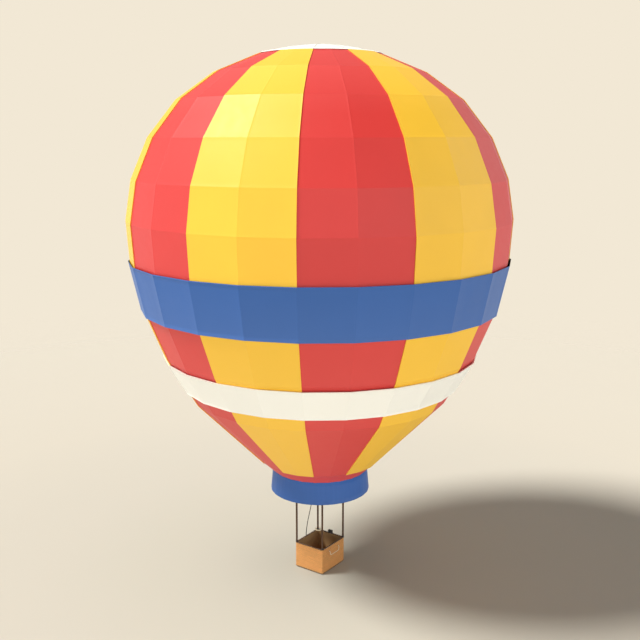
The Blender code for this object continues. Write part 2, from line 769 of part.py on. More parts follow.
def rim_fittings(place, materials):
    """Rope ring round the back upright, instrument box on the rim and the line from the load frame."""
    ring = torus("rope_ring", ROPE_RING_RADIUS, ROPE_RING_WIRE, place, materials["rope"], segments=24)
    x, y = upright_corners()[0]
    ring.location = (x - ROPE_RING_OFFSET[0], y - ROPE_RING_OFFSET[1], RIM_TOP + ROPE_RING_WIRE + GAP)
    depth, _, height = BOX_SIZE
    box_centre = (BASKET_HALF_X - depth / 2 + BOX_OVERHANG, 0.0, RIM_TOP + GAP + height / 2)
    bevel(block("instrument_box", BOX_SIZE, box_centre, place, materials["dark_case"]), BOX_ROUNDING)
    foot = (*LINE_ROUTE[0][:2], RIM_TOP + GAP)
    tube("valve_line", [foot, *smooth_path(LINE_ROUTE, 6)], LINE_RADIUS, place, materials["dark_rope"])


def build():
    clear_scene()
    collection = make_collection(COLLECTION)
    cutters = make_collection("cutters")
    cutters.hide_render = True
    materials = make_materials()
    envelope = make_empty("envelope_centre", collection, (0.0, 0.0, -WAIST_DROP))
    valve = make_empty("valve_axis", collection, (0.0, 0.0, 0.0), envelope)
    gimbal_axis = make_empty("gimbal_axis", collection, (0.0, 0.0, LOAD_FRAME_HEIGHT), envelope)
    burner_axis = make_empty("burner_axis", collection, (0.0, 0.0, 0.0), gimbal_axis)
    place = {
        "collection": collection,
        "anchor": envelope,
        "valve": valve,
        "gimbal": gimbal_axis,
        "burner": burner_axis,
    }
    for index in range(GORES // 2):
        red_gore(index, place, materials)
        yellow_gore(index, place, materials)
    mouth_band(place, materials)
    band("blue_band", BLUE_BAND, ("bottom",), place, materials["blue_fabric"])
    band("white_band", WHITE_BAND, ("top", "bottom"), place, materials["white_fabric"])
    skirt(place, materials)
    crown(place, materials)
    basket(place, materials)
    uprights(place, materials)
    load_frame(place, materials)
    flying_wires(place, materials)
    gimbal(place, materials)
    burner(place, materials)
    cylinders(place, materials)
    rope_handle("front", -1, place, materials)
    rope_handle("back", 1, place, materials)
    rim_fittings(place, materials)


build()
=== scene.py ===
"""Hot air balloon: sewn fabric envelope, woven basket and gimballed burner, in soft studio light.

Metres, +Z up. The origin is the crown ring. A profile is a list of (radius, height). Heights of
the envelope's profiles are measured from its widest ring, which is WAIST_DROP below the origin.
"""

import json
import math

import bmesh
import bpy
import numpy as np
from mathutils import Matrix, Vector


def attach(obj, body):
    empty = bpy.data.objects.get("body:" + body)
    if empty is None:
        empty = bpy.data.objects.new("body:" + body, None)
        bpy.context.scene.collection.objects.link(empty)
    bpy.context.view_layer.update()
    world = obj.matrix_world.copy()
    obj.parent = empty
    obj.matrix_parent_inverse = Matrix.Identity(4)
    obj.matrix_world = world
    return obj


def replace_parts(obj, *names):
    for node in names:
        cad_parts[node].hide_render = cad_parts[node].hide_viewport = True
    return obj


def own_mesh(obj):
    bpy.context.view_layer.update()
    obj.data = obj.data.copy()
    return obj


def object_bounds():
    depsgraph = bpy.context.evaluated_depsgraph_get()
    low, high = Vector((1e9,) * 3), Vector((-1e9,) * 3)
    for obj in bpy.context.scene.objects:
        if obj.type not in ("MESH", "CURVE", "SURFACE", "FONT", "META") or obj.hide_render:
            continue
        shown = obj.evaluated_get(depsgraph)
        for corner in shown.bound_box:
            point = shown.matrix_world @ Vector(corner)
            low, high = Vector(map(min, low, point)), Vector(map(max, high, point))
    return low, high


TURN = 2 * math.pi
UP = np.array([0.0, 0.0, 1.0])
WELD_REACH = 0.00001
NEARLY_UPRIGHT = 0.1

# Envelope, repeated from the CAD.
WAIST_DROP = 6.564
GORES = 12
FACETS = 24
FACET_ANGLE = TURN / FACETS
GORE_RINGS = [
    (2.310, 6.206), (2.446, 6.152), (4.058, 5.491), (5.479, 4.474), (6.574, 3.090), (7.245, 1.538),
    (7.500, 0.000), (7.403, -1.575), (6.968, -3.525), (6.300, -5.175), (5.160, -7.100), (2.470, -9.870),
]
MOUTH_RING = (1.965, -10.340)
YELLOW_LIFT = 0.030
BLUE_BAND = [(7.500, -1.556), (7.083, -3.479)]
WHITE_BAND = [(6.297, -5.365), (5.580, -6.585)]
SKIRT = [(1.964, -10.3403), (2.043, -11.245)]
VALVE_EDGE = 2.60
CLEARANCE = 0.0003

# Sewing: cloth thickness, seams, hems, puckers and the slight billow of each facet.
CLOTH = 0.0015
SEAM_RAISE = 0.0012
SEAM_SHARE = 0.010
SEAM_STEP = 0.004
END_SEAM = 0.0125
END_SEAM_MARGIN = 0.012
END_SEAM_RAISE = 0.0004
HEM = 0.045
HEM_RAISE = 0.003
HEM_EASE = 0.004
PUCKER = 0.0016
PUCKER_REACH = 0.09
PUCKER_EASE_SIDE = 0.02
PUCKER_EASE_END = 0.08
BILLOW = 0.006
BILLOW_WIDTH = 1.9
ROW_STEP = 0.15
SHORT_FACET = 0.3
GORE_PHASE = 1.7
FLANGE_LAP = 0.002
HALF_FACET = [0.0, SEAM_SHARE, 0.014, 0.045, 0.10, 0.20, 0.35, 0.50]
FACET_SHARES = np.array([*HALF_FACET, *(1.0 - share for share in HALF_FACET[-2::-1])])
RIPPLES = [(0.5, 0.62, 1.0), (0.3, 0.41, 2.3), (0.2, 0.335, 4.1)]
BAND_STEPS = 10
BAND_HEM_EASE = 0.003
BAND_SHARES = [0.0, 0.012, 0.016, 0.25, 0.50, 0.75, 0.984, 0.988]
MOUTH_HEM = 0.030
MOUTH_START = 0.002
MOUTH_ROWS = [0.2, 0.4, 0.55]
MOUTH_SHARES = [0.0, 0.03, 0.25, 0.5, 0.75, 0.97]
SKIRT_TUCK = 0.010
SKIRT_ROWS = [0.18, 0.32, 0.46, 0.60, 0.72]
SKIRT_COLUMNS = 288
SKIRT_FOLD = 0.004
SKIRT_FOLDS = 24
SKIRT_CRINKLE = 0.0015
SKIRT_CRINKLES = 61

# Crown: valve dome, shroud lines, load tapes round the crown ring, and the opening's hem.
DOME_APEX = 6.550
DOME_RADII = [0.19, 0.45, 0.70, 1.0, 1.25, 1.5, 1.80, 2.05, GORE_RINGS[0][0] - 0.012]
DOME_GAP = 0.0103
VALVE_LAP = 0.04
VALVE_LAP_RISE = 0.016
VALVE_SHARES = [0.0, 0.02, 0.03, 0.5, 0.97, 0.98]
GUSSET_SINK = 0.0015
SHROUD_RADIUS = 2.2
SHROUD_ROW = 8
SHROUD_DROP = 0.02
SHROUD_RING_Z = -2.7
SHROUD_WIRE = 0.0030
KNOT_REACH = 0.01
KNOT_RADIUS = 0.014
KNOT_ENDS = (0.03, -0.05)
PULL_LINE_START = 0.04
PULL_LINE_WIRE = 0.0055
PULL_LINE_STEP = 0.5
CROWN_RING_RADIUS = 0.150
CROWN_RING_WIRE = 0.010
LOAD_TAPE_HALF = 0.023
LOAD_TAPE_THICK = 0.0024
LOAD_TAPE_LIFT = 0.0022
LOAD_TAPE_WRAP = 0.0016
LOAD_TAPE_COLUMNS = np.array([-1.0, -0.93, 0.93, 1.0])
LOAD_TAPE_TURNS = np.radians(np.linspace(-20.0, 205.0, 9))
OPENING_HEM_LIFT = 0.004
OPENING_HEM_END = 0.72
OPENING_HEM_SHARES = [0.30, 0.34, 0.80, 0.84, 1.0]
OPENING_HEM_LAP = 0.005
OPENING_HEM_FOOT = 0.010
OPENING_HEM_BEND = 0.006
OPENING_HEM_TUCK_OUT = 0.002
OPENING_HEM_TUCK_DOWN = 0.008

# Basket, uprights and load frame, repeated from the CAD.
BASKET_HALF_X = 0.806
BASKET_HALF_Y = 0.707
BASKET_CORNER = 0.045
WALL_LOW = -21.2834
WALL_HIGH = -20.2533
RIM_TOP = -20.229
RIM_WIDTH = 0.070
RIM_HEIGHT = 0.024
RIM_CORNER = 0.076
RIM_OVERHANG = 0.008
BASE_INSET = 0.030
BASE_CORNER = 0.060
UPRIGHT_RADIUS = 0.040
UPRIGHT_TOP = -18.207
UPRIGHTS = [(0.760, 0.661), (-0.760, 0.661), (-0.760, -0.661), (0.760, -0.661)]
FRAME_Z = -18.184

# Weave: rows of willow round upright stakes. Each row's cloth is shifted, for tones of its own.
WEAVE_ROWS = 50
STAKES = 88
SAMPLES_PER_STAKE = 4
STRAND_SIDES = 5
STRAND_DEPTH = 0.0070
STRAND_SWELL = 0.06
STRAND_SEED = 11
STRAND_WAVES = (2, 7)
STRAND_PHASES = (0, 6)
WEAVE_INSET = 0.0190
WEAVE_SWING = 0.0112
WEAVE_SHIFT_ALONG = 7.31
WEAVE_SHIFT_ROUND = 0.19
STAKE_RADIUS = 0.0045

# Rim cover and its lacing, lining and the stitches of the base binding.
LACES = 52
SAMPLES_PER_LACE = 6
LACE_PINCH = 0.055
LACE_PINCH_REACH = 0.8
LACE_SLANT = 0.010
LACE_WIRE = 0.0022
RIM_SIDES = 20
RIM_GIRTH = 0.19
RIM_SECTION = (RIM_WIDTH, RIM_HEIGHT, 0.011)
LACE_SECTION = (RIM_WIDTH - 0.003, RIM_HEIGHT - 0.001, 0.0105)
LINING_INSET = 0.0425
LINING_CORNER = 0.010
LINING_ROWS = 22
LINING_COLUMNS = 360
LINING_TOP = WALL_HIGH - 0.001
LINING_FOOT = WALL_LOW + 0.002
LINING_FOLD = 0.0016
LINING_WAVES = (0.31, 0.173)
LINING_BACK = 0.0006
LINING_THICK = 0.0012
STITCHES = 330
STITCH_HALF = 0.0045
STITCH_WIRE = 0.0008
STITCH_RAISE = 0.0004
STITCH_ROWS = (WALL_LOW - 0.0300, WALL_LOW - 0.0480)

# Leather sleeves of the uprights, with ties, stitches and cuffs.
SLEEVE_RADIUS = UPRIGHT_RADIUS - 0.0012
SLEEVE_SIDES = 28
SLEEVE_ROWS = 120
SLEEVE_END_INSET = 0.004
SLEEVE_SEAM = 0.0028
SLEEVE_WRINKLE = 0.0010
SLEEVE_RIPPLE = 0.0006
SLEEVE_WRINKLES = 41
SLEEVE_RIPPLES = 97
SLEEVE_WANDER = 3.0
TIES = 4
TIE_END = 0.30
TIE_PINCH = 0.0030
TIE_PINCH_REACH = 0.014
TIE_ROW_GAP = 0.012
TIE_RADIUS = 0.0368
TIE_WIRE = 0.0024
SEAM_STITCH_RADIUS = 0.0412
SEAM_STITCH_HALF = 0.006
SEAM_STITCH_RISE = 0.006
SEAM_STITCH_PITCH = 0.022
SEAM_STITCH_WIRE = 0.0009
SEAM_STITCH_ENDS = (0.09, 0.06)
CUFF_LOW = 0.060
CUFF_HIGH = 0.050
CUFF_EDGE = [(0.0402, 0.0), (0.0448, 0.0008), (0.0460, 0.004)]

# Ropes and lines, repeated from the CAD. A handle point is (reach, stand-off, drop below the rim).
HANDLE_ROPE = 0.016
HANDLE_HALF = [
    (0.320, 0.0003, 0.210), (0.320, 0.022, 0.210), (0.318, 0.055, 0.260),
    (0.304, 0.055, 0.350), (0.250, 0.055, 0.393), (0.0, 0.055, 0.400),
]
HANDLE_STEP = 0.010
EYELET_RADIUS = 0.021
EYELET_WIRE = 0.0050
EYELET_STAND = 0.002
ROPE_RING = (0.730, 0.601)
ROPE_RING_RADIUS = 0.140
ROPE_RING_WIRE = 0.025
ROPE_RING_LAY = 5.5
LINE_RADIUS = 0.015
LINE_STEP = 0.06
LINE_ROUTE = [
    (-0.063, 0.682, RIM_TOP + 0.020), (-0.062, 0.680, RIM_TOP + 0.160), (-0.035, 0.620, -19.564),
    (0.207, 0.575, -18.714), (0.282, 0.560, FRAME_Z), (0.300, 0.552, FRAME_Z + 0.140),
]
ROUTE_STEPS = 8
STRANDS = 3
STRAND_REACH = 0.52
STRAND_SHARE = 0.48

# Gas cylinders. Profiles are measured from the cylinder's foot. The jacket's list gives insets.
CYLINDER_RADIUS = 0.150
CYLINDER_FOOT = -21.2834
CYLINDERS = {"left": (-0.6091, 0.5101), "right": (0.6091, -0.5101)}
JACKET = [
    (0.014, 0.0), (0.006, 0.012), (0.002, 0.03),
    *((0.001, height) for height in np.linspace(0.05, 0.66, 62)),
    (0.004, 0.672), (0.010, 0.684), (0.020, 0.70), (0.032, 0.715), (0.052, 0.727),
]
JACKET_TOP = (0.060, 0.728)
JACKET_SIDES = 72
QUILT_SEAMS = [0.13, 0.26, 0.39, 0.52]
QUILT_DEPTH = 0.0045
QUILT_REACH = 0.010
QUILT_PUCKER = 0.0012
QUILT_PUCKERS = 33
QUILT_PUCKER_AWAY = 0.3
QUILT_TWIST = 9
QUILT_SINK = 0.0016
STRAP_HEIGHTS = (0.20, 0.60)
STRAP_PROFILE = [(-0.004, -0.019), (0.0012, -0.018), (0.0012, 0.018), (-0.004, 0.019)]
BUCKLE_STAND = 0.004
BUCKLE = [(-0.026, -0.022), (0.026, -0.022), (0.026, 0.022), (-0.026, 0.022)]
BUCKLE_STEP = 0.006
BUCKLE_WIRE = 0.0028
BUCKLE_PIN = 0.0022
VALVE_PROFILE = [
    (0.0, 0.712), (0.072, 0.712), (0.076, 0.722), (0.072, 0.730), (0.040, 0.742), (0.034, 0.742),
    (0.030, 0.760), (0.022, 0.764), (0.022, 0.776), (0.010, 0.778), (0.010, 0.789), (0.0, 0.789),
]
WHEEL_RADIUS = 0.026
WHEEL_HEIGHT = 0.796
WHEEL_HUB = 0.792
WHEEL_GRIPS = 8
WHEEL_GRIP = 0.0016
WHEEL_WIRE = 0.0050
SPOKES = 4
SPOKE_WIRE = 0.0030
GUARD_RADIUS = 0.100
GUARD_HEIGHT = 0.785
GUARD_FOOT = 0.716
GUARD_GAP = 0.35
GUARD_WIRE = 0.0060
GUARD_STEP = 0.012
GUARD_STEPS = 20
OUTLET_HEIGHT = 0.752
OUTLET_REACH = 0.055
OUTLET_RADIUS = 0.010

# Load frame and burner. Profiles are measured from the frame's middle or the can's base.
SOCKET_INSET = 0.010
SOCKET = [(0.0, -0.016), (0.028, -0.016), (0.034, -0.012), (0.034, 0.010), (0.028, 0.024), (0.0, 0.026)]
GUIDE_RADIUS = 0.020
GUIDE_WIRE = 0.0045
GUIDE_STEM = 0.0060
GUIDE_RISE = 0.002
BURNER_X = 0.170
CAN_RADIUS = 0.130
CAN_BASE = 0.060
CAN_LIP_HEIGHT = 0.440
CAN_LIP_INSET = 0.001
CAN_LIP_WIRE = 0.0045
JET_RINGS = ((0.030, 8), (0.060, 14))
JET = [(0.0, 0.014), (0.0052, 0.014), (0.0052, 0.024), (0.0030, 0.034), (0.0012, 0.035), (0.0, 0.033)]
JET_PLATE = [(0.0, 0.0045), (0.070, 0.0045), (0.074, 0.008), (0.070, 0.014), (0.0, 0.015)]
LEVER = [(0.0, -0.032, 0.042), (0.0, -0.075, 0.040), (0.01, -0.115, 0.020), (0.02, -0.150, -0.030)]
LEVER_WIRE = 0.0055
LEVER_GRIP = 0.0095
LEVER_STEPS = 6
LEVER_GRIP_START = 2
PILOT = [(0.036, 0.0, 0.040), (0.080, 0.0, 0.036), (0.138, 0.0, 0.050), (0.138, 0.0, 0.120)]
PILOT_WIRE = 0.0040
GAUGE_HEIGHT = 0.042
GAUGE = [(0.0, 0.036), (0.021, 0.036), (0.023, 0.040), (0.023, 0.058), (0.019, 0.060), (0.0, 0.058)]
GAUGE_FACE = [(0.0, 0.0596), (0.0175, 0.0602)]

# Instrument box on the rim: its face, screen, knobs and straps.
BOX_FACE_X = 0.716
BOX_MIDDLE_Z = RIM_TOP + CLEARANCE + 0.070
SCREEN_OUTLINE = (0.130, 0.070, 0.010, 40)
BEZEL_WIRE = 0.0035
BEZEL_STAND = 0.0005
SCREEN_STANDS = ((0.0, 0.0016), (1.0, 0.0012))
KNOB = [(0.0, 0.0), (0.009, 0.0), (0.009, -0.010), (0.007, -0.012), (0.0, -0.012)]
KNOB_PLACES = (-0.080, 0.080)
KNOB_DROP = 0.045
BOX_STRAP_PLACES = (-0.060, 0.060)
BOX_STRAP_HALF = 0.0125
BOX_STRAP_THICK = 0.0020
BOX_STRAP_CLOTH = 0.1
BOX_STRAP = [
    (0.7145, 0.1315), (0.8175, 0.1315), (0.8175, -0.026),
    (0.7410, -0.026), (0.7410, -0.002), (0.7145, -0.002),
]

# Camera and light, in the horizontal directions that the photograph gives.
CAMERA_YAW = math.radians(-54.3)
CAMERA_PITCH = math.radians(11.59)
CAMERA_DISTANCE = 35.235
CAMERA_RISE = 3.091
CAMERA_REACH = 400.0
LENS = 50.0
SENSOR = 36.0
SUN_TRAVEL = (0.967, -1.054, -1.900)
SUN_STRENGTH = 3.97
SUN_SOFTNESS = math.radians(16.0)
SUN_COLOUR = (1.0, 0.99, 0.96)
BACKDROP = (0.888, 0.807, 0.665)
LIGHT_COLOUR = (1.0, 0.995, 0.98)
LOW_GLOW = 0.23
SIDE_GLOW = 0.88
FRONT_GLOW = 2.15
HIGH_GLOW = 0.505
FILL_GLOW = 1.61
FLOOR_HALF = 160.0
FLOOR_REACH = 40.0
FADE = (24.0, 62.0)

# Red, green and blue are the shares of the low, the high and the even light, from straight down to up.
LIGHT_BELTS = [
    (0.0, (0.0, 0.0, 1.12)),
    (0.495, (0.0, 0.0, 1.12)),
    (0.505, (1.0, 0.0, 0.0)),
    (0.595, (1.0, 0.0, 0.0)),
    (0.605, (0.0, 1.0, 0.0)),
    (0.745, (0.0, 1.0, 0.0)),
    (0.755, (0.0, 0.0, 0.0)),
    (0.895, (0.0, 0.0, 0.0)),
    (0.905, (0.0, 0.0, 0.10)),
]
# Painted shade: the floor is darker near the basket, where the balloon shades it, and paler far off.
FLOOR_PAINTED_SHADE = [
    (0.0, (0.460, 0.450, 0.388)),
    (0.15, (0.535, 0.519, 0.444)),
    (0.30, (0.600, 0.563, 0.482)),
    (0.55, (0.662, 0.609, 0.514)),
    (0.75, (0.674, 0.620, 0.524)),
]

# Tones of each surface: (place along a noise, factor of the colour). Painted light and shade: (share of the
# height, grey).
CLOTH_TONES = [(0.30, 0.975), (0.70, 1.02)]
LEATHER_TONES = [(0.32, 0.72), (0.55, 1.0), (0.78, 1.35)]
WILLOW_TONES = [(0.30, 0.78), (0.52, 1.0), (0.74, 1.22)]
ROPE_TONES = [(0.25, 0.74), (0.60, 1.0), (0.85, 1.12)]
METAL_TONES = [(0.30, 0.84), (0.70, 1.0)]
WOOD_TONES = [(0.28, 0.66), (0.50, 1.0), (0.74, 1.28)]
PLASTIC_TONES = [(0.30, 0.82), (0.70, 1.15)]
HEAT_COLOURS = [
    (0.30, (0.56, 0.56, 0.57)),
    (0.48, (0.60, 0.50, 0.34)),
    (0.58, (0.42, 0.32, 0.36)),
    (0.72, (0.34, 0.38, 0.48)),
]
MOUTH_Z = -16.9
# Painted light: cloth is painted paler near the mouth and near the crown, for the sheen and light on those
# facets.
CLOTH_PAINTED_LIGHT = [(0.0, 1.0), (0.22, 0.8), (0.42, 0.35), (0.50, 0.0), (0.84, 0.0), (0.97, 1.0)]
# Painted shade: the lining is painted darker towards the top of the wall.
LINING_PAINTED_SHADE = [(0.0, 1.0), (0.5, 0.60), (1.0, 0.34)]
# Gain and lift of the paler colour of that painted light.
PAINTED_LIGHT_GAIN = 1.09
PAINTED_LIGHT_LIFT = 0.035
THREAD_PITCH = 0.008
THREAD_WIDTH = 0.0012
THREAD_TINT = 0.06
WEAVE_WAVES = 5200.0
WEAVE_SHARE = 0.25
RIB_PITCH = 0.004

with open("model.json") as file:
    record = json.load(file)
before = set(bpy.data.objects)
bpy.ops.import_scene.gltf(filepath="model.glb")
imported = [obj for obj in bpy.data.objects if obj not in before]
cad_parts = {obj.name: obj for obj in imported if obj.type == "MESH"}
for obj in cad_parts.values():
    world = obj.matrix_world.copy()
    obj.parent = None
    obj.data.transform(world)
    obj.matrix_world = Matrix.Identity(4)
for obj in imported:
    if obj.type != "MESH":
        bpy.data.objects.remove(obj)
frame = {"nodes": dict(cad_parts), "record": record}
CAD_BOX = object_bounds()
FLOOR_Z = CAD_BOX[0][2]


# Node materials


def tone(colour, factor):
    return tuple(min(1.0, channel * factor) for channel in colour)


class Nodes:
    """Short calls that add nodes to a tree."""

    def __init__(self, tree):
        self.tree = tree

    def plug(self, value, socket):
        """Links a node's output to a socket, or sets a plain value on it."""
        if hasattr(value, "is_output"):
            self.tree.links.new(value, socket)
        else:
            socket.default_value = value

    def add(self, kind, sockets=(), **settings):
        """A new node with its settings, then with (socket, value) pairs plugged in."""
        node = self.tree.nodes.new(kind)
        for setting, value in settings.items():
            setattr(node, setting, value)
        for socket, value in sockets:
            self.plug(value, node.inputs[socket])
        return node

    def math(self, operation, *values):
        return self.add("ShaderNodeMath", enumerate(values), operation=operation).outputs[0]

    def split(self, vector):
        return self.add("ShaderNodeSeparateXYZ", [(0, vector)]).outputs

    def spread(self, value, source=(0.0, 1.0), target=(0.0, 1.0), **settings):
        """A value carried from one range over to another."""
        ranges = zip(("From Min", "From Max", "To Min", "To Max"), (*source, *target))
        return self.add("ShaderNodeMapRange", [("Value", value), *ranges], **settings).outputs["Result"]

    def ramp(self, value, stops):
        """Colours at places from 0 to 1 along a value."""
        node = self.add("ShaderNodeValToRGB", [("Fac", value)])
        elements = node.color_ramp.elements
        while len(elements) < len(stops):
            elements.new(0.5)
        for element, (position, colour) in zip(elements, stops):
            element.position = position
            element.color = (*colour, 1.0)
        return node.outputs["Color"]


class Paint(Nodes):
    """A Principled material with short calls for what colours and roughens it."""

    def __init__(self, name, roughness=0.6, metallic=0.0, specular=0.5):
        self.material = bpy.data.materials.new(name)
        self.material.use_nodes = True
        super().__init__(self.material.node_tree)
        self.sockets = self.tree.nodes["Principled BSDF"].inputs
        self.roughness = roughness
        self.sockets["Roughness"].default_value = roughness
        self.sockets["Metallic"].default_value = metallic
        self.sockets["Specular IOR Level"].default_value = specular

    def object_place(self):
        return self.add("ShaderNodeTexCoord").outputs["Object"]

    def cloth_place(self):
        return self.add("ShaderNodeUVMap", uv_map="cloth").outputs["UV"]

    def noise(self, vector, scale=1.0, detail=4.0, roughness=0.55, stretch=None):
        """Noise, over coordinates that are first stretched by a factor for each axis."""
        if stretch:
            vector = self.add("ShaderNodeMapping", [("Vector", vector), ("Scale", stretch)]).outputs[0]
        sockets = [("Vector", vector), ("Scale", scale), ("Detail", detail), ("Roughness", roughness)]
        return self.add("ShaderNodeTexNoise", sockets).outputs["Fac"]

    def tones(self, value, colour, stops):
        """Tones of one colour at places from 0 to 1 along a value."""
        return self.ramp(value, [(position, tone(colour, factor)) for position, factor in stops])

    def height_shares(self, heights, stops):
        """Grey shares, from 0 to 1, at places between two heights of the object."""
        level = self.spread(self.split(self.object_place())["Z"], heights)
        return self.tones(level, (1.0, 1.0, 1.0), stops)

    def mix(self, factor, first, second, blend="MIX"):
        node = self.add("ShaderNodeMix", data_type="RGBA", blend_type=blend)
        self.plug(factor, node.inputs["Factor"])
        colour_sockets = [socket for socket in node.inputs if socket.type == "RGBA"]
        for value, socket in zip((first, second), colour_sockets):
            self.plug(value if hasattr(value, "is_output") else (*value, 1.0), socket)
        return next(socket for socket in node.outputs if socket.type == "RGBA")

    def finish(self, colour, relief, depth, strength=1.0, rough=None):
        """Plugs in colour, relief with a depth in metres, and (value, less, more) of the roughness."""
        self.plug(colour, self.sockets["Base Color"])
        sockets = [("Strength", strength), ("Distance", depth), ("Height", relief)]
        self.plug(self.add("ShaderNodeBump", sockets).outputs["Normal"], self.sockets["Normal"])
        if rough:
            value, less, more = rough
            spread = self.spread(value, target=(self.roughness - less, self.roughness + more))
            self.plug(spread, self.sockets["Roughness"])
        return self.material


def threads(paint, run):
    """1 on thin threads at even steps along a coordinate in metres, 0 between them."""
    return paint.math("LESS_THAN", paint.math("PINGPONG", run, THREAD_PITCH / 2), THREAD_WIDTH / 2)


def fabric(name, colour, roughness=0.52, specular=0.5, painted_light="crown_and_mouth_light"):
    """Ripstop: fine weave and a raised thread grid.

    Painted light makes it paler near the crown and the mouth; painted shade makes the lining darker towards
    its top.
    """
    paint = Paint(name, roughness, specular=specular)
    place = paint.cloth_place()
    across, along, _ = paint.split(place)
    grid = paint.math("MAXIMUM", threads(paint, across), threads(paint, along))
    waves = [paint.math("SINE", paint.math("MULTIPLY", run, WEAVE_WAVES)) for run in (across, along)]
    weave = paint.math("MULTIPLY", *waves)
    cloud = paint.noise(paint.object_place(), scale=0.45, detail=3.0)
    tones_and_painted_light = paint.tones(cloud, colour, CLOTH_TONES)
    # Painted light: paler near the crown and the mouth, standing in for sheen and light on those facets.
    if painted_light == "crown_and_mouth_light":
        painted_paler = tuple(min(1.0, PAINTED_LIGHT_GAIN * channel + PAINTED_LIGHT_LIFT) for channel in colour)
        tones_and_painted_light = paint.mix(paint.height_shares((MOUTH_Z, 0.0), CLOTH_PAINTED_LIGHT), tones_and_painted_light, painted_paler)
    # Painted shade: the lining is darker towards its top.
    if painted_light == "hands":
        painted_shade = paint.height_shares((WALL_LOW, WALL_HIGH), LINING_PAINTED_SHADE)
        tones_and_painted_light = paint.mix(1.0, tones_and_painted_light, painted_shade, "MULTIPLY")
    marked = paint.mix(paint.math("MULTIPLY", grid, THREAD_TINT), tones_and_painted_light, tone(colour, 0.80))
    relief = paint.math("ADD", grid, paint.math("MULTIPLY", weave, WEAVE_SHARE))
    rough = (paint.noise(place, scale=3.0, detail=2.0), 0.05, 0.05)
    return paint.finish(marked, relief, depth=0.00008, rough=rough)


def webbing(name, colour):
    """Flat woven strap with a herringbone of fine ribs, painted darker in their grooves: painted shade."""
    paint = Paint(name, 0.72)
    across, along, _ = paint.split(paint.cloth_place())
    slanted = paint.math("ADD", along, paint.math("PINGPONG", across, RIB_PITCH))
    ribs = paint.math("PINGPONG", slanted, RIB_PITCH / 2)
    relief = paint.math("DIVIDE", ribs, RIB_PITCH / 2)
    # Painted shade: colour darker in the rib grooves and paler on the crests.
    return paint.finish(paint.mix(relief, tone(colour, 0.82), tone(colour, 1.05)), relief, depth=0.0006)


def leather(name, colour, roughness=0.55):
    """Oiled leather: pebbled grain, darker folds and paler rubbed places."""
    paint = Paint(name, roughness, specular=0.4)
    place = paint.object_place()
    pebbles = [("Vector", place), ("Scale", 260.0)]
    grain = paint.add("ShaderNodeTexVoronoi", pebbles, feature="DISTANCE_TO_EDGE").outputs["Distance"]
    rubbed = paint.tones(paint.noise(place, scale=7.0, detail=5.0), colour, LEATHER_TONES)
    rough = (paint.noise(place, scale=20.0), 0.08, 0.12)
    return paint.finish(rubbed, grain, depth=0.0015, strength=0.6, rough=rough)


def willow(name, colour):
    """Buff willow rod: every strand its own tone, fine fibres along it."""
    paint = Paint(name, 0.62, specular=0.35)
    place = paint.cloth_place()
    fibres = paint.noise(place, detail=3.0, stretch=(6.0, 900.0, 1.0))
    strands = paint.noise(place, detail=1.0, stretch=(1.7, 52.0, 1.0))
    patches = paint.noise(paint.object_place(), scale=3.0, detail=3.0)
    blend = paint.math("ADD", paint.math("MULTIPLY", strands, 0.65), paint.math("MULTIPLY", patches, 0.35))
    tones = paint.tones(blend, colour, WILLOW_TONES)
    streaked = paint.mix(paint.math("MULTIPLY", fibres, 0.25), tones, tone(colour, 0.62))
    return paint.finish(streaked, fibres, depth=0.0008)


def rope_paint(name, colour):
    """Fibres that run along the strands of a laid rope."""
    paint = Paint(name, 0.85, specular=0.2)
    fibres = paint.noise(paint.cloth_place(), stretch=(500.0, 40.0, 1.0))
    return paint.finish(paint.tones(fibres, colour, ROPE_TONES), fibres, depth=0.0010)


def metal(name, colour, roughness):
    """Drawn metal with faint scratches and handling marks."""
    paint = Paint(name, roughness, metallic=1.0)
    place = paint.object_place()
    scratches = paint.noise(place, stretch=(40.0, 40.0, 900.0))
    smudges = paint.noise(place, scale=9.0)
    marked = paint.tones(smudges, colour, METAL_TONES)
    return paint.finish(marked, scratches, depth=0.0002, strength=0.5, rough=(smudges, 0.07, 0.12))


def heated_steel(name):
    """Stainless steel of the burner, blued and straw coloured by heat."""
    paint = Paint(name, 0.32, metallic=1.0)
    place = paint.object_place()
    heat = paint.ramp(paint.noise(place, detail=3.0, stretch=(3.0, 3.0, 6.0)), HEAT_COLOURS)
    scratches = paint.noise(place, stretch=(60.0, 60.0, 700.0))
    return paint.finish(heat, scratches, depth=0.0002, rough=(paint.noise(place, scale=30.0), 0.06, 0.12))


def wood(name, colour):
    """Planed wood or ply: grain stretched along the board."""
    paint = Paint(name, 0.62)
    place = paint.object_place()
    grain = paint.noise(place, scale=6.0, detail=6.0, roughness=0.62, stretch=(1.0, 14.0, 14.0))
    tones = paint.tones(grain, colour, WOOD_TONES)
    return paint.finish(tones, grain, depth=0.0008, rough=(grain, 0.10, 0.12))


def moulded(name, colour, roughness=0.5):
    """Moulded plastic or rubber with a fine sparked texture."""
    paint = Paint(name, roughness)
    place = paint.object_place()
    tones = paint.tones(paint.noise(place, scale=14.0), colour, PLASTIC_TONES)
    sparks = paint.noise(place, scale=900.0, detail=2.0)
    return paint.finish(tones, sparks, depth=0.0003, rough=(paint.noise(place, scale=60.0), 0.06, 0.10))
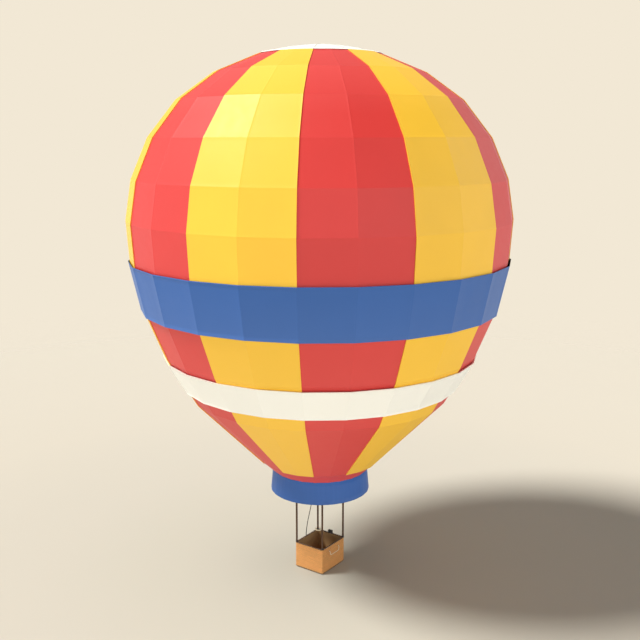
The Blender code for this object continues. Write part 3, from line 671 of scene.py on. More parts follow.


# Every fabric but the skirt and the lining is painted paler near the crown and the mouth: painted light.
PAINT_RECIPES = [
    (fabric, "red_fabric", (0.640, 0.038, 0.032)),
    (fabric, "yellow_fabric", (0.900, 0.520, 0.030)),
    (fabric, "blue_fabric", (0.027, 0.112, 0.368)),
    (fabric, "skirt_fabric", (0.027, 0.117, 0.410), 0.52, 0.5, "none"),
    (fabric, "white_fabric", (0.905, 0.885, 0.815)),
    (webbing, "webbing", (0.78, 0.75, 0.68)),
    (metal, "alloy", (0.66, 0.67, 0.68), 0.36),
    (metal, "steel", (0.50, 0.50, 0.51), 0.30),
    (heated_steel, "burner_steel"),
    (leather, "padding", (0.092, 0.043, 0.018), 0.60),
    (willow, "wicker", (0.860, 0.440, 0.150)),
    (leather, "rim_leather", (0.105, 0.045, 0.022), 0.58),
    # The lining is painted darker towards its top: painted shade.
    (fabric, "lining", (0.920, 0.545, 0.245), 0.80, 0.2, "hands"),
    (wood, "plywood", (0.36, 0.21, 0.10)),
    (wood, "runner_wood", (0.30, 0.17, 0.08)),
    (rope_paint, "rope", (0.92, 0.81, 0.58)),
    (rope_paint, "dark_rope", (0.020, 0.021, 0.018)),
    (moulded, "dark_case", (0.030, 0.026, 0.024)),
    (webbing, "dark_webbing", (0.045, 0.042, 0.040)),
    (metal, "brass", (0.62, 0.44, 0.18), 0.32),
    (moulded, "screen", (0.050, 0.060, 0.062), 0.12),
    (moulded, "red_knob", (0.45, 0.02, 0.02), 0.4),
    (moulded, "dial", (0.62, 0.62, 0.58), 0.3),
]
PAINTS = {name: recipe(name, *values) for recipe, name, *values in PAINT_RECIPES}


# Mesh building


def new_object(name, mesh, paint):
    """An object with its paint and the slot that its finish comes from."""
    obj = bpy.data.objects.new(name, mesh)
    bpy.context.scene.collection.objects.link(obj)
    mesh.materials.append(PAINTS[paint])
    return obj


def cell_corners(grid):
    """Corners of every cell of a grid, in order round the cell."""
    return np.stack([grid[:-1, :-1], grid[1:, :-1], grid[1:, 1:], grid[:-1, 1:]], 2)


def one_more(cloth):
    """Cloth coordinates with one more column, where a closed grid meets its first column again."""
    return np.concatenate([cloth, cloth[:, -1:] + (cloth[:, 1:2] - cloth[:, :1])], 1)


def grid_object(name, parts, paint, wrap=False, smooth=True):
    """One object from grids of (points, cloth), with the cloth coordinates in metres as its UV map."""
    vertices, quads, coordinates, base = [], [], [], 0
    for points, cloth in parts:
        rows, columns = points.shape[:2]
        index = base + np.arange(rows * columns).reshape(rows, columns)
        if wrap:
            index = np.concatenate([index, index[:, :1]], 1)
            cloth = one_more(cloth)
        quads.append(cell_corners(index).reshape(-1, 4))
        coordinates.append(cell_corners(cloth).reshape(-1, 2))
        vertices.append(points.reshape(-1, 3))
        base += rows * columns
    mesh = bpy.data.meshes.new(name)
    mesh.from_pydata(np.concatenate(vertices).tolist(), [], np.concatenate(quads).tolist())
    layer = mesh.uv_layers.new(name="cloth")
    layer.data.foreach_set("uv", np.concatenate(coordinates).astype(np.float32).ravel())
    if smooth:
        mesh.shade_smooth()
    return new_object(name, mesh, paint)


def weld(obj):
    """Merges coincident points, such as the drawn-in ends of a bar."""
    shape = bmesh.new()
    shape.from_mesh(obj.data)
    bmesh.ops.remove_doubles(shape, verts=shape.verts, dist=WELD_REACH)
    bmesh.ops.recalc_face_normals(shape, faces=shape.faces)
    shape.to_mesh(obj.data)
    shape.free()
    return obj


def many_grids(name, parts, paint, body="balloon", smooth=True):
    """One welded piece from grids that close on themselves, on the body that it rides on."""
    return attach(weld(grid_object(name, parts, paint, True, smooth)), body)


def sharpen(obj, columns, sharp_rows, sharp_columns):
    """Keeps the creases of a faceted grid crisp."""
    mesh = obj.data
    ends = np.empty(len(mesh.edges) * 2, np.int64)
    mesh.edges.foreach_get("vertices", ends)
    row, column = np.divmod(ends.reshape(-1, 2), columns)
    along_row = (row[:, 0] == row[:, 1]) & np.isin(row[:, 0], list(sharp_rows))
    along_column = (column[:, 0] == column[:, 1]) & np.isin(column[:, 0], list(sharp_columns))
    attribute = mesh.attributes.new("sharp_edge", "BOOLEAN", "EDGE")
    attribute.data.foreach_set("value", along_row | along_column)


def finish_cloth(obj, node=None, body="balloon", thickness=CLOTH, offset=-1.0):
    """Gives a cloth piece its thickness, the CAD node that it stands for and the body it rides on."""
    modifier = obj.modifiers.new("thickness", "SOLIDIFY")
    modifier.thickness = thickness
    modifier.offset = offset
    if node:
        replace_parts(obj, node)
    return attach(obj, body)


def full_turn(count):
    """Angles at even steps round a circle."""
    return TURN * np.arange(count) / count


def run_along(path):
    """How far every point of a path is along it."""
    gaps = np.linalg.norm(np.diff(np.asarray(path, float), axis=0), axis=1)
    return np.concatenate([[0.0], np.cumsum(gaps)])


def path_length(path):
    return float(run_along(path)[-1])


def cloth_map(across, along):
    """Cloth coordinates of a grid, from the place of each column across and of each row along."""
    return np.stack(np.broadcast_arrays(np.asarray(across)[None, :], np.asarray(along)[:, None]), -1)


# Envelope


def offset_rings(rings, distance):
    """The profile moved out by a distance, each corner mitred. A negative distance moves it in."""
    points = [Vector(ring) for ring in rings]
    normals = []
    for upper, lower in zip(points, points[1:]):
        run = (lower - upper).normalized()
        normals.append(Vector((-run.y, run.x)))
    moved = []
    for point, before, after in zip(points, [normals[0], *normals], [*normals, normals[-1]]):
        mitre = (before + after) / (1.0 + before.dot(after))
        moved.append(tuple(point + mitre * distance))
    return moved


def polar(radius, angle, height):
    return Vector((radius * math.cos(angle), radius * math.sin(angle), height))


def steps_along(length):
    """Places down a facet, close together beside both ends. A short facet has its ends alone."""
    if length <= SHORT_FACET:
        return np.array([0.0, length])
    count = max(2, round(length / ROW_STEP))
    inner = np.linspace(0.0, length, count + 1)[1:-1]
    clear = 3 * END_SEAM_MARGIN
    inner = inner[(inner > clear) & (inner < length - clear)]
    edges = np.array([END_SEAM_MARGIN, END_SEAM_MARGIN + SEAM_STEP])
    return np.concatenate([[0.0], edges, inner, length - edges[::-1], [length]])


def ripple(along, phase):
    """A steady wobble between -1 and 1, in metres along a seam."""
    return sum(share * np.sin(TURN * along / wave + shift * phase) for share, wave, shift in RIPPLES)


def facet_points(corners, down, phase, start):
    """One flat panel with felled seams on its edges, faint puckers beside them and a slight billow."""
    upper_left, upper_right, lower_left, lower_right = [np.array(corner) for corner in corners]
    length = down[-1]
    share = FACET_SHARES[None, :, None]
    drop = (down / length)[:, None]
    top = upper_left * (1 - share) + upper_right * share
    bottom = lower_left * (1 - share) + lower_right * share
    points = top * (1 - drop[..., None]) + bottom * drop[..., None]
    normal = np.cross(lower_left - upper_left, upper_right - upper_left)
    normal /= np.linalg.norm(normal)
    width = np.linalg.norm(points[:, -1] - points[:, 0], axis=1)[:, None]
    across = FACET_SHARES[None, :] * width
    along = start + down[:, None]
    to_side = np.minimum(across, width - across)
    to_end = np.minimum(down, length - down)[:, None]
    seam = (FACET_SHARES <= SEAM_SHARE) | (FACET_SHARES >= 1 - SEAM_SHARE)
    raised = np.maximum(SEAM_RAISE * seam[None, :], END_SEAM_RAISE * (to_end <= END_SEAM))
    pucker = PUCKER * ripple(along, phase) * np.exp(-to_side / PUCKER_REACH)
    pucker = pucker * np.clip(to_side / PUCKER_EASE_SIDE, 0, 1) * np.clip(to_end / PUCKER_EASE_END, 0, 1)
    bulge = 4 * FACET_SHARES * (1 - FACET_SHARES)
    rise = 4 * drop * (1 - drop)
    billow = BILLOW * bulge[None, :] * rise * np.minimum(width / BILLOW_WIDTH, 1.0)
    lift = (raised + pucker + billow)[:, :, None]
    inward = normal * np.sign(np.dot(normal, -upper_left * [1, 1, 0]))
    return points - inward * lift, np.stack([across, np.broadcast_to(along, across.shape)], -1)


def gore_half(rings, left, phase):
    """One column of facets: points, cloth and the rows of its creases."""
    blocks, maps, crease_rows, start = [], [], [], 0.0
    for index, pair in enumerate(zip(rings, rings[1:])):
        sides = (left, left + FACET_ANGLE)
        corners = [polar(radius, side, height - WAIST_DROP) for radius, height in pair for side in sides]
        down = steps_along((corners[2] - corners[0]).length)
        points, cloth = facet_points(corners, down, phase + index, start)
        kept = len(down) - (index < len(rings) - 2)
        crease_rows.append(sum(len(block) for block in blocks))
        blocks.append(points[:kept])
        maps.append(cloth[:kept])
        start += down[-1]
    return np.concatenate(blocks), np.concatenate(maps), crease_rows


def gore(name, first_angle, lift, paint, phase):
    """Two columns of facets between two load tapes, crisp at every ring and at the middle seam."""
    rings = offset_rings(GORE_RINGS, lift)
    left, left_cloth, crease_rows = gore_half(rings, first_angle, phase)
    right, right_cloth, _ = gore_half(rings, first_angle + FACET_ANGLE, phase + 1)
    points = np.concatenate([left, right[:, 1:]], 1)
    cloth = np.concatenate([left_cloth, right_cloth[:, 1:] + left_cloth[:, -1:] * [1, 0]], 1)
    crease_columns = np.array([0, 1, 2]) * (len(FACET_SHARES) - 1)
    if lift > 0:
        points, cloth = with_flanges(points, cloth, lift)
        crease_columns += 1
    obj = grid_object(name, [(points, cloth)], paint)
    sharpen(obj, points.shape[1], crease_rows, crease_columns)
    return obj


def with_flanges(points, cloth, depth):
    """Turns the two long edges in to the level of the next gore."""
    flanges = []
    for edge, beside in ((0, 1), (-1, -2)):
        inward = np.cross(points[1:, edge] - points[:-1, edge], points[1:, beside] - points[1:, edge])
        inward = np.concatenate([inward[:1], inward])
        inward /= np.linalg.norm(inward, axis=1)[:, None]
        outside = (inward * points[:, edge] * [1, 1, 0]).sum(1) > 0
        inward[outside] *= -1
        flanges.append((points[:, edge] + inward * (depth + FLANGE_LAP))[:, None])
    points = np.concatenate([flanges[0], points, flanges[1]], 1)
    return points, np.concatenate([cloth[:, :1] - [depth, 0], cloth, cloth[:, -1:] + [depth, 0]], 1)


def gore_flat(lift):
    """(width, length, area) of the flat cut of one gore, in metres and square metres."""
    rings = offset_rings(GORE_RINGS, lift)
    chord = 4 * math.sin(FACET_ANGLE / 2)
    width = max(radius for radius, _ in rings) * chord
    length = path_length(rings)
    area = 2 * lift * length
    for upper, lower in zip(rings, rings[1:]):
        area += (upper[0] + lower[0]) / 2 * chord * math.dist(upper, lower)
    return width + 2 * lift, length, area


def envelope():
    for index in range(GORES // 2):
        for turn, (label, lift) in enumerate((("yellow", YELLOW_LIFT), ("red", 0.0))):
            first = 2 * FACET_ANGLE * (2 * index + turn)
            phase = GORE_PHASE * index + turn
            piece = gore(f"panel_{label}_{index + 1}", first, lift, f"{label}_fabric", phase)
            finish_cloth(piece, f"gore_{label}_{index + 1}")
            width, length, area = gore_flat(lift)


def ring_surface(profile, segments, start_angle=0.0, sweep=TURN, wave=None):
    """Points (rows, columns) and cloth of a profile turned about Z, flat between its corners."""
    closed = sweep == TURN
    angles = start_angle + sweep * np.arange(segments + (not closed)) / segments
    radius, height = np.array(profile).T[:, :, None]
    reach = np.broadcast_to(radius, (len(profile), len(angles)))
    if wave is not None:
        reach = reach + wave(height, angles[None, :])
    level = np.broadcast_to(height - WAIST_DROP, reach.shape)
    points = np.stack([reach * np.cos(angles), reach * np.sin(angles), level], -1)
    return points, cloth_map((angles - start_angle) * np.mean(radius), run_along(profile))


def faceted_columns(points, cloth, shares):
    """Adds columns between the corners of a faceted ring, so that its facets stay flat."""

    def filled(grid):
        rows, columns, depth = grid.shape
        blocks = [grid[:, :-1] * (1 - share) + grid[:, 1:] * share for share in shares]
        merged = np.stack(blocks, 2).reshape(rows, (columns - 1) * len(shares), depth)
        return np.concatenate([merged, grid[:, -1:]], 1)

    return filled(points), filled(cloth)


def closed_facets(profile, shares):
    """Points and cloth of a closed ring of flat facets, with columns at the shares of each facet."""
    points, cloth = ring_surface(profile, FACETS)
    points = np.concatenate([points, points[:, :1]], 1)
    points, cloth = faceted_columns(points, one_more(cloth), shares)
    return points[:, :-1], cloth[:, :-1]


def seam_columns(columns, shares):
    """True for the columns on a sewn seam: the first two and the last of each facet."""
    return np.isin(np.arange(columns) % len(shares), [0, 1, len(shares) - 1])


def seat_radius(height):
    """Radius of the yellow gores' outer face at a height."""
    rings = offset_rings(GORE_RINGS, YELLOW_LIFT)
    for (upper_r, upper_h), (lower_r, lower_h) in zip(rings, rings[1:]):
        if lower_h <= height <= upper_h:
            return upper_r + (upper_h - height) / (upper_h - lower_h) * (lower_r - upper_r)
    raise ValueError("height outside the gores")


def band_profile(edges, folds):
    """Hemmed band: a raised hem at both edges, turned in to the gores where folds says so."""
    (top_r, top_h), (bottom_r, bottom_h) = edges
    slope = (bottom_r - top_r) / (bottom_h - top_h)
    hem = HEM / math.hypot(bottom_r - top_r, bottom_h - top_h)
    eased = hem + BAND_HEM_EASE
    steps = [step / BAND_STEPS for step in range(1, BAND_STEPS)]
    profile = []
    for share in [0.0, hem, eased, *steps, 1 - eased, 1 - hem, 1.0]:
        height = top_h + share * (bottom_h - top_h)
        lift = HEM_RAISE if share <= hem or share >= 1 - hem else 0.0
        profile.append((top_r + slope * (height - top_h) + lift, height))
    if "top" in folds:
        profile.insert(0, (seat_radius(top_h), top_h))
    if "bottom" in folds:
        profile.append((seat_radius(bottom_h), bottom_h))
    return profile


def half_band(colour, label, edges, folds, half):
    """Half of a sewn band, twelve flat facets long."""
    profile = band_profile(edges, folds)
    points, cloth = ring_surface(profile, GORES, half * math.pi, math.pi)
    points, cloth = faceted_columns(points, cloth, BAND_SHARES)
    columns = points.shape[1]
    outward = points * [1, 1, 0]
    outward /= np.linalg.norm(outward, axis=-1)[..., None]
    points = points + outward * (SEAM_RAISE * seam_columns(columns, BAND_SHARES))[None, :, None]
    obj = grid_object(f"{colour}_belt_{label}", [(points, cloth)], f"{colour}_fabric")
    fold_rows = {"top": 1, "bottom": len(profile) - 2}
    sharpen(obj, columns, [fold_rows[fold] for fold in folds], range(0, columns, len(BAND_SHARES)))
    finish_cloth(obj, f"{colour}_band_{label}")


def bands():
    for half, label in enumerate(("back", "front")):
        half_band("blue", label, BLUE_BAND, ("bottom",), half)
        half_band("white", label, WHITE_BAND, ("top", "bottom"), half)


def mouth():
    """Red band round the mouth, hemmed at both edges."""
    upper, lower = Vector(GORE_RINGS[-1]), Vector(MOUTH_RING)
    length = (lower - upper).length
    run = (lower - upper).normalized()
    normal = Vector((-run.y, run.x))
    end = length - MOUTH_HEM
    profile = []
    for place in [MOUTH_START, MOUTH_HEM, MOUTH_HEM + HEM_EASE, *MOUTH_ROWS, end - HEM_EASE, end, length]:
        lift = HEM_RAISE / 2 if place <= MOUTH_HEM or place >= end else 0.0
        profile.append(tuple(upper + run * place + normal * lift))
    points, cloth = closed_facets(profile, MOUTH_SHARES)
    obj = grid_object("mouth_cloth", [(points, cloth)], "red_fabric", wrap=True)
    columns = points.shape[1]
    sharpen(obj, columns, (), range(0, columns, len(MOUTH_SHARES)))
    finish_cloth(obj, "mouth_band")


def skirt():
    """Blue skirt below the mouth, tucked in at its top and hemmed, in faint soft folds."""
    (top_r, top_h), (bottom_r, bottom_h) = SKIRT
    drop = top_h - bottom_h
    end = drop - HEM
    profile = []
    for place in [-SKIRT_TUCK, 0.0, HEM, HEM + HEM_EASE, *SKIRT_ROWS, end - HEM_EASE, end, drop]:
        lift = HEM_RAISE if place <= HEM or place >= end else 0.0
        profile.append((top_r + (bottom_r - top_r) * place / drop + lift - HEM_RAISE, top_h - place))

    def folds(height, angles):
        swell = SKIRT_FOLD * (top_h - height) / drop * np.sin(SKIRT_FOLDS * angles)
        return swell + SKIRT_CRINKLE * np.sin(SKIRT_CRINKLES * angles + 2)

    grid = ring_surface(profile, SKIRT_COLUMNS, wave=folds)
    obj = finish_cloth(grid_object("skirt_cloth", [grid], "skirt_fabric", wrap=True), "skirt")


envelope()
bands()
mouth()
skirt()


# Rounded tubes, ropes and loops


def frames_along(path, closed=False):
    """Centre points with two steady cross directions along a path."""
    path = np.asarray(path, float)
    ahead = np.roll(path, -1, 0) - np.roll(path, 1, 0)
    if not closed:
        ahead[0] = path[1] - path[0]
        ahead[-1] = path[-1] - path[-2]
    ahead /= np.linalg.norm(ahead, axis=1)[:, None]
    side = np.cross(ahead[0], [0.0, 0.0, 1.0])
    if np.linalg.norm(side) < NEARLY_UPRIGHT:
        side = np.cross(ahead[0], [0.0, 1.0, 0.0])
    sides = []
    for direction in ahead:
        side = side - direction * side.dot(direction)
        side /= np.linalg.norm(side)
        sides.append(side)
    sides = np.array(sides)
    return path, sides, np.cross(ahead, sides)


def round_bar(path, radius, sides=8, closed=False):
    """(points, cloth) of a round bar: rows along the path, columns round it, the ends drawn in."""
    centre, first, second = frames_along(path, closed)
    angles = full_turn(sides)[None, :, None]
    points = centre[:, None] + (np.cos(angles) * first[:, None] + np.sin(angles) * second[:, None]) * radius
    if closed:
        points = np.concatenate([points, points[:1]])
        centre = np.concatenate([centre, centre[:1]])
    else:
        centre = np.concatenate([centre[:1], centre, centre[-1:]])
        ends = np.repeat(centre[[0, -1], None], sides, 1)
        points = np.concatenate([ends[:1], points, ends[1:]])
    return points, cloth_map(full_turn(sides) * radius, run_along(centre))


def bars(name, routes, radius, paint, sides=8, body="balloon"):
    """Several straight or bent round bars as one piece."""
    return many_grids(name, [round_bar(route, radius, sides) for route in routes], paint, body)


def laid_rope(name, path, radius, paint, body="balloon", closed=False, lay=7.0, sides=7):
    """Three-strand rope along a path. Its strands turn once in a lay of so many radii."""
    centre, first, second = frames_along(path, closed)
    run = run_along(centre)
    total = run[-1] + (np.linalg.norm(centre[0] - centre[-1]) if closed else 0.0)
    turns = total / (lay * radius)
    if closed:
        turns = round(turns)
    strands = []
    for index in range(STRANDS):
        angle = TURN * (run / total * turns + index / STRANDS)
        across = np.cos(angle)[:, None] * first + np.sin(angle)[:, None] * second
        strand = centre + across * radius * STRAND_REACH
        strands.append(round_bar(strand, radius * STRAND_SHARE, sides, closed))
    return many_grids(name, strands, paint, body)


def smooth_path(route, steps):
    """Points of a curve that passes through every point of a route."""
    route = [Vector(point) for point in route]
    padded = [2 * route[0] - route[1], *route, 2 * route[-1] - route[-2]]
    path = []
    for before, start, end, after in zip(padded, padded[1:], padded[2:], padded[3:]):
        for step in range(steps):
            t = step / steps
            slope = (end - before) * t
            curve = (2 * before - 5 * start + 4 * end - after) * t**2
            twist = (3 * start - before - 3 * end + after) * t**3
            path.append((2 * start + slope + curve + twist) / 2)
    path.append(route[-1])
    return [tuple(point) for point in path]


def even_points(path, step):
    """The same path with points an even step apart."""
    run = run_along(path)
    places = np.linspace(0.0, run[-1], max(2, round(run[-1] / step) + 1))
    return np.stack([np.interp(places, run, column) for column in np.asarray(path, float).T], 1)


def loop_places(half_x, half_y, corner, count):
    """Places (x, y), outward directions and length of a rounded rectangle, from the middle of +X."""
    straight_x, straight_y = 2 * (half_x - corner), 2 * (half_y - corner)
    bend = math.pi / 2 * corner
    total = 2 * (straight_x + straight_y) + 4 * bend
    places, outward = [], []
    for index in range(count):
        run = (total * index / count + straight_y / 2) % total
        for quarter, straight in enumerate((straight_y, straight_x, straight_y, straight_x)):
            turn = quarter * math.pi / 2
            normal = np.array([math.cos(turn), math.sin(turn)])
            along = np.array([-normal[1], normal[0]])
            reach = half_x if quarter % 2 == 0 else half_y
            if run <= straight:
                places.append(normal * reach + along * (run - straight / 2))
                outward.append(normal)
                break
            run -= straight
            if run <= bend:
                angle = turn + run / corner
                spoke = np.array([math.cos(angle), math.sin(angle)])
                centre = normal * (reach - corner) + along * straight / 2
                places.append(centre + spoke * corner)
                outward.append(spoke)
                break
            run -= bend
    return np.array(places), np.array(outward), total


def turned_rows(profile, centre, sides, axis="z", start=0.0, wave=None):
    """(points, cloth) of a profile of (radius, place along the axis) turned about an axis."""
    angles = start + full_turn(sides)
    radius, along = np.repeat(np.array(profile, float).T[:, :, None], sides, 2)
    if wave is not None:
        radius = radius + wave(along, angles[None, :])
    turned = [radius * np.cos(angles), radius * np.sin(angles), along]
    order = {"x": (2, 0, 1), "y": (0, 2, 1), "z": (0, 1, 2)}[axis]
    points = np.stack([turned[index] for index in order], -1) + np.array(centre)
    widest = max(reach for reach, _ in profile)
    return points, cloth_map(angles * widest, run_along(profile))


def circle(centre, radius, count, axis="z", start=0.0, wave=None):
    """Points at even steps round a circle about an axis."""
    points, _ = turned_rows([(radius, 0.0)], centre, count, axis, start, wave)
    return points[0]


def raised(flat, heights):
    """Points from places (x, y) and their heights."""
    heights = np.broadcast_to(np.asarray(heights)[..., None], (*flat.shape[:-1], 1))
    return np.concatenate([flat, heights], -1)


# Crown


def dome_profile():
    """The valve from its middle to its lap under the gores."""
    seat = offset_rings(GORE_RINGS, -DOME_GAP)
    fall = DOME_APEX - seat[0][1]
    dome = [(radius, DOME_APEX - fall * (radius / GORE_RINGS[0][0]) ** 2) for radius in DOME_RADII]
    share = (VALVE_EDGE - seat[1][0]) / (seat[2][0] - seat[1][0])
    lap = seat[1][1] + share * (seat[2][1] - seat[1][1])
    edge = [(VALVE_EDGE - VALVE_LAP, lap + VALVE_LAP_RISE), (VALVE_EDGE, lap)]
    return [(0.0, DOME_APEX), *dome, *seat[:2], *edge]


def valve_panel():
    """White valve panel of 24 tapered gussets, hemmed at its edge."""
    points, cloth = closed_facets(dome_profile(), VALVE_SHARES)
    columns = points.shape[1]
    points[1:-2, :, 2] -= GUSSET_SINK * ~seam_columns(columns, VALVE_SHARES)
    panel = grid_object("valve_panel", [(points, cloth)], "white_fabric", wrap=True)
    sharpen(panel, columns, (), range(0, columns, len(VALVE_SHARES)))
    finish_cloth(weld(panel), "crown_valve", "valve")


def valve_rigging():
    """Shroud lines that meet in a knot, and the pull line from the knot to the load frame."""
    height = dome_profile()[SHROUD_ROW][1] - WAIST_DROP - SHROUD_DROP
    tops = circle((0, 0, height), SHROUD_RADIUS, GORES, start=FACET_ANGLE)
    feet = circle((0, 0, SHROUD_RING_Z), KNOT_REACH, GORES, start=FACET_ANGLE)
    bars("valve_shrouds", zip(tops, feet), SHROUD_WIRE, "dark_rope", sides=5, body="valve")
    knot = [(0, 0, SHROUD_RING_Z + end) for end in KNOT_ENDS]
    laid_rope("shroud_knot", knot, KNOT_RADIUS, "dark_rope", "valve")

    top, bottom = (0.0, 0.0, SHROUD_RING_Z - PULL_LINE_START), LINE_ROUTE[-1]
    path = even_points([top, bottom], PULL_LINE_STEP)
    pull = bars("valve_pull_line", [path], PULL_LINE_WIRE, "dark_rope", sides=6)
    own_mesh(pull)


def crown_hem():
    """White band sewn over the gores' upper ends, round the opening that the valve closes."""
    rings = offset_rings(GORE_RINGS, YELLOW_LIFT + OPENING_HEM_LIFT)
    upper, lower = Vector(rings[0]), Vector(rings[1])
    edge = upper.lerp(lower, OPENING_HEM_END)
    inner = GORE_RINGS[0][0] - OPENING_HEM_LAP
    profile = [
        (inner, GORE_RINGS[0][1] + OPENING_HEM_FOOT),
        (inner, upper.y - OPENING_HEM_BEND),
        (inner + OPENING_HEM_BEND, upper.y),
        tuple(upper),
        *(tuple(upper.lerp(edge, share)) for share in OPENING_HEM_SHARES),
        (edge.x + OPENING_HEM_TUCK_OUT, edge.y - OPENING_HEM_TUCK_DOWN),
    ]
    hem = grid_object("crown_hem", [ring_surface(profile, FACETS)], "white_fabric", wrap=True, smooth=False)
    finish_cloth(hem)


def crown_webbing():
    """Twelve load tapes over the crown opening, each looped round the crown ring."""
    seat = dome_profile()[1:len(DOME_RADII) + 1]
    line = [(radius, height - WAIST_DROP + LOAD_TAPE_LIFT) for radius, height in reversed(seat)]
    wrap = CROWN_RING_WIRE + LOAD_TAPE_WRAP
    for turn in LOAD_TAPE_TURNS:
        line.append((CROWN_RING_RADIUS + wrap * math.cos(turn), wrap * math.sin(turn)))
    reach, height = np.array(line).T[:, :, None, None]
    columns = LOAD_TAPE_COLUMNS * LOAD_TAPE_HALF
    parts = []
    for angle in full_turn(GORES) + 2 * FACET_ANGLE:
        outward = np.array([math.cos(angle), math.sin(angle), 0.0])
        across = np.array([-outward[1], outward[0], 0.0])
        points = reach * outward + height * UP + columns[None, :, None] * across
        parts.append((points, cloth_map(columns, run_along(line))))
    tapes = grid_object("crown_load_tapes", parts, "webbing")
    finish_cloth(tapes, "crown_tapes", thickness=LOAD_TAPE_THICK, offset=0.0)


valve_panel()
valve_rigging()
crown_hem()
crown_webbing()


# Basket


def weave():
    """Willow rows in and out of upright stakes, each row a closed ring."""
    count = STAKES * SAMPLES_PER_STAKE
    half_x, half_y = BASKET_HALF_X - WEAVE_INSET, BASKET_HALF_Y - WEAVE_INSET
    places, outward, total = loop_places(half_x, half_y, BASKET_CORNER - WEAVE_INSET, count)
    swing = np.cos(math.pi * np.arange(count) / SAMPLES_PER_STAKE)[:, None] * WEAVE_SWING
    pitch = (WALL_HIGH - WALL_LOW) / WEAVE_ROWS
    angles = TURN * (np.arange(STRAND_SIDES) + 0.5) / STRAND_SIDES
    along = total * np.arange(count) / count
    around = np.append(angles, angles[0] + TURN) * STRAND_DEPTH
    dice = np.random.default_rng(STRAND_SEED)
    parts = []
    for row in range(WEAVE_ROWS):
        swell = np.sin(full_turn(count) * dice.integers(*STRAND_WAVES) + dice.uniform(*STRAND_PHASES))
        thick = 1.0 + STRAND_SWELL * swell[:, None]
        sign = 1 if row % 2 else -1
        sideways = sign * swing + np.cos(angles) * STRAND_DEPTH * thick
        flat = places[:, None] + outward[:, None] * sideways[..., None]
        heights = WALL_LOW + pitch * (row + 0.5) + np.sin(angles) * (pitch / 2) * np.minimum(thick, 1.0)
        points = raised(flat, heights).transpose(1, 0, 2)
        cloth = cloth_map(along + row * WEAVE_SHIFT_ALONG, around + row * WEAVE_SHIFT_ROUND)
        parts.append((np.concatenate([points, points[:1]]), cloth))
    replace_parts(many_grids("willow_weave", parts, "wicker"), "basket_wall")

    routes = [[(x, y, WALL_LOW), (x, y, WALL_HIGH)] for x, y in places[::SAMPLES_PER_STAKE]]
    bars("willow_stakes", routes, STAKE_RADIUS, "wicker", sides=6)


def rim_loop(count):
    """Places, outward directions and length along the middle of the rim."""
    inset = RIM_WIDTH / 2 - RIM_OVERHANG
    return loop_places(BASKET_HALF_X - inset, BASKET_HALF_Y - inset, RIM_CORNER - RIM_WIDTH / 2, count)


def rounded_section(width, height, corner, count):
    """Closed outline of a rounded rectangle, centred on its middle."""
    return loop_places(width / 2, height / 2, corner, count)[0]


def rim_cover():
    """Padded leather rim, its cover drawn in under each turn of the lacing."""
    count = LACES * SAMPLES_PER_LACE
    places, outward, total = rim_loop(count)
    section = rounded_section(*RIM_SECTION, RIM_SIDES)
    half = SAMPLES_PER_LACE // 2
    from_lace = np.abs((np.arange(count) + half) % SAMPLES_PER_LACE - half)
    puff = 1.0 - LACE_PINCH * np.exp(-((from_lace / LACE_PINCH_REACH) ** 2))
    flat = places + outward * (section[:, :1] * puff)[..., None]
    points = raised(flat, RIM_TOP - RIM_HEIGHT / 2 + section[:, 1:] * puff)
    cloth = cloth_map(total * np.arange(count) / count, np.linspace(0.0, RIM_GIRTH, RIM_SIDES + 1))
    rim = many_grids("rim_cover", [(np.concatenate([points, points[:1]]), cloth)], "rim_leather")
    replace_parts(rim, "basket_rim")


def rim_lacing():
    """Cord laced round the rim, with a slanted turn over each pinch of its cover."""
    places, outward, _ = rim_loop(LACES)
    outline = rounded_section(*LACE_SECTION, RIM_SIDES)
    slant = LACE_SLANT * np.sin(full_turn(RIM_SIDES))[:, None]
    turns = []
    for place, out in zip(places, outward):
        flat = place + out * outline[:, :1] + np.array([-out[1], out[0]]) * slant
        path = raised(flat, RIM_TOP - RIM_HEIGHT / 2 + outline[:, 1])
        turns.append(round_bar(path, LACE_WIRE, sides=5, closed=True))
    many_grids("rim_lacing", turns, "rope")


def basket_lining():
    """Canvas that hangs inside the wall in faint soft folds."""
    half_x, half_y = BASKET_HALF_X - LINING_INSET, BASKET_HALF_Y - LINING_INSET
    places, outward, total = loop_places(half_x, half_y, LINING_CORNER, LINING_COLUMNS)
    heights = np.linspace(LINING_TOP, LINING_FOOT, LINING_ROWS)
    run = total * np.arange(LINING_COLUMNS) / LINING_COLUMNS
    drop = (heights[0] - heights) / (heights[0] - heights[-1])
    long_wave, short_wave = LINING_WAVES
    waves = 0.5 * np.sin(TURN * run / long_wave) + 0.5 * np.sin(TURN * run / short_wave + 1.0)
    inward = LINING_FOLD * waves[None, :] * (4 * drop * (1 - drop))[:, None] + LINING_BACK
    points = raised(places - outward * inward[..., None], heights[:, None])
    grid = (points, cloth_map(run, heights[0] - heights))
    lining = grid_object("lining_cloth", [grid], "lining", wrap=True)
    finish_cloth(lining, "basket_lining", thickness=LINING_THICK, offset=0.0)


def base_stitching():
    """Stitches along the leather binding under the basket."""
    half_x, half_y = BASKET_HALF_X - BASE_INSET, BASKET_HALF_Y - BASE_INSET
    places, outward, _ = loop_places(half_x, half_y, BASE_CORNER, STITCHES)
    routes = []
    for place, out in zip(places, outward):
        along = np.array([-out[1], out[0]]) * STITCH_HALF
        spot = place + out * STITCH_RAISE
        routes += [[(*(spot - along), height), (*(spot + along), height)] for height in STITCH_ROWS]
    bars("base_stitching", routes, STITCH_WIRE, "rope", sides=4)


weave()
rim_cover()
rim_lacing()
basket_lining()
base_stitching()


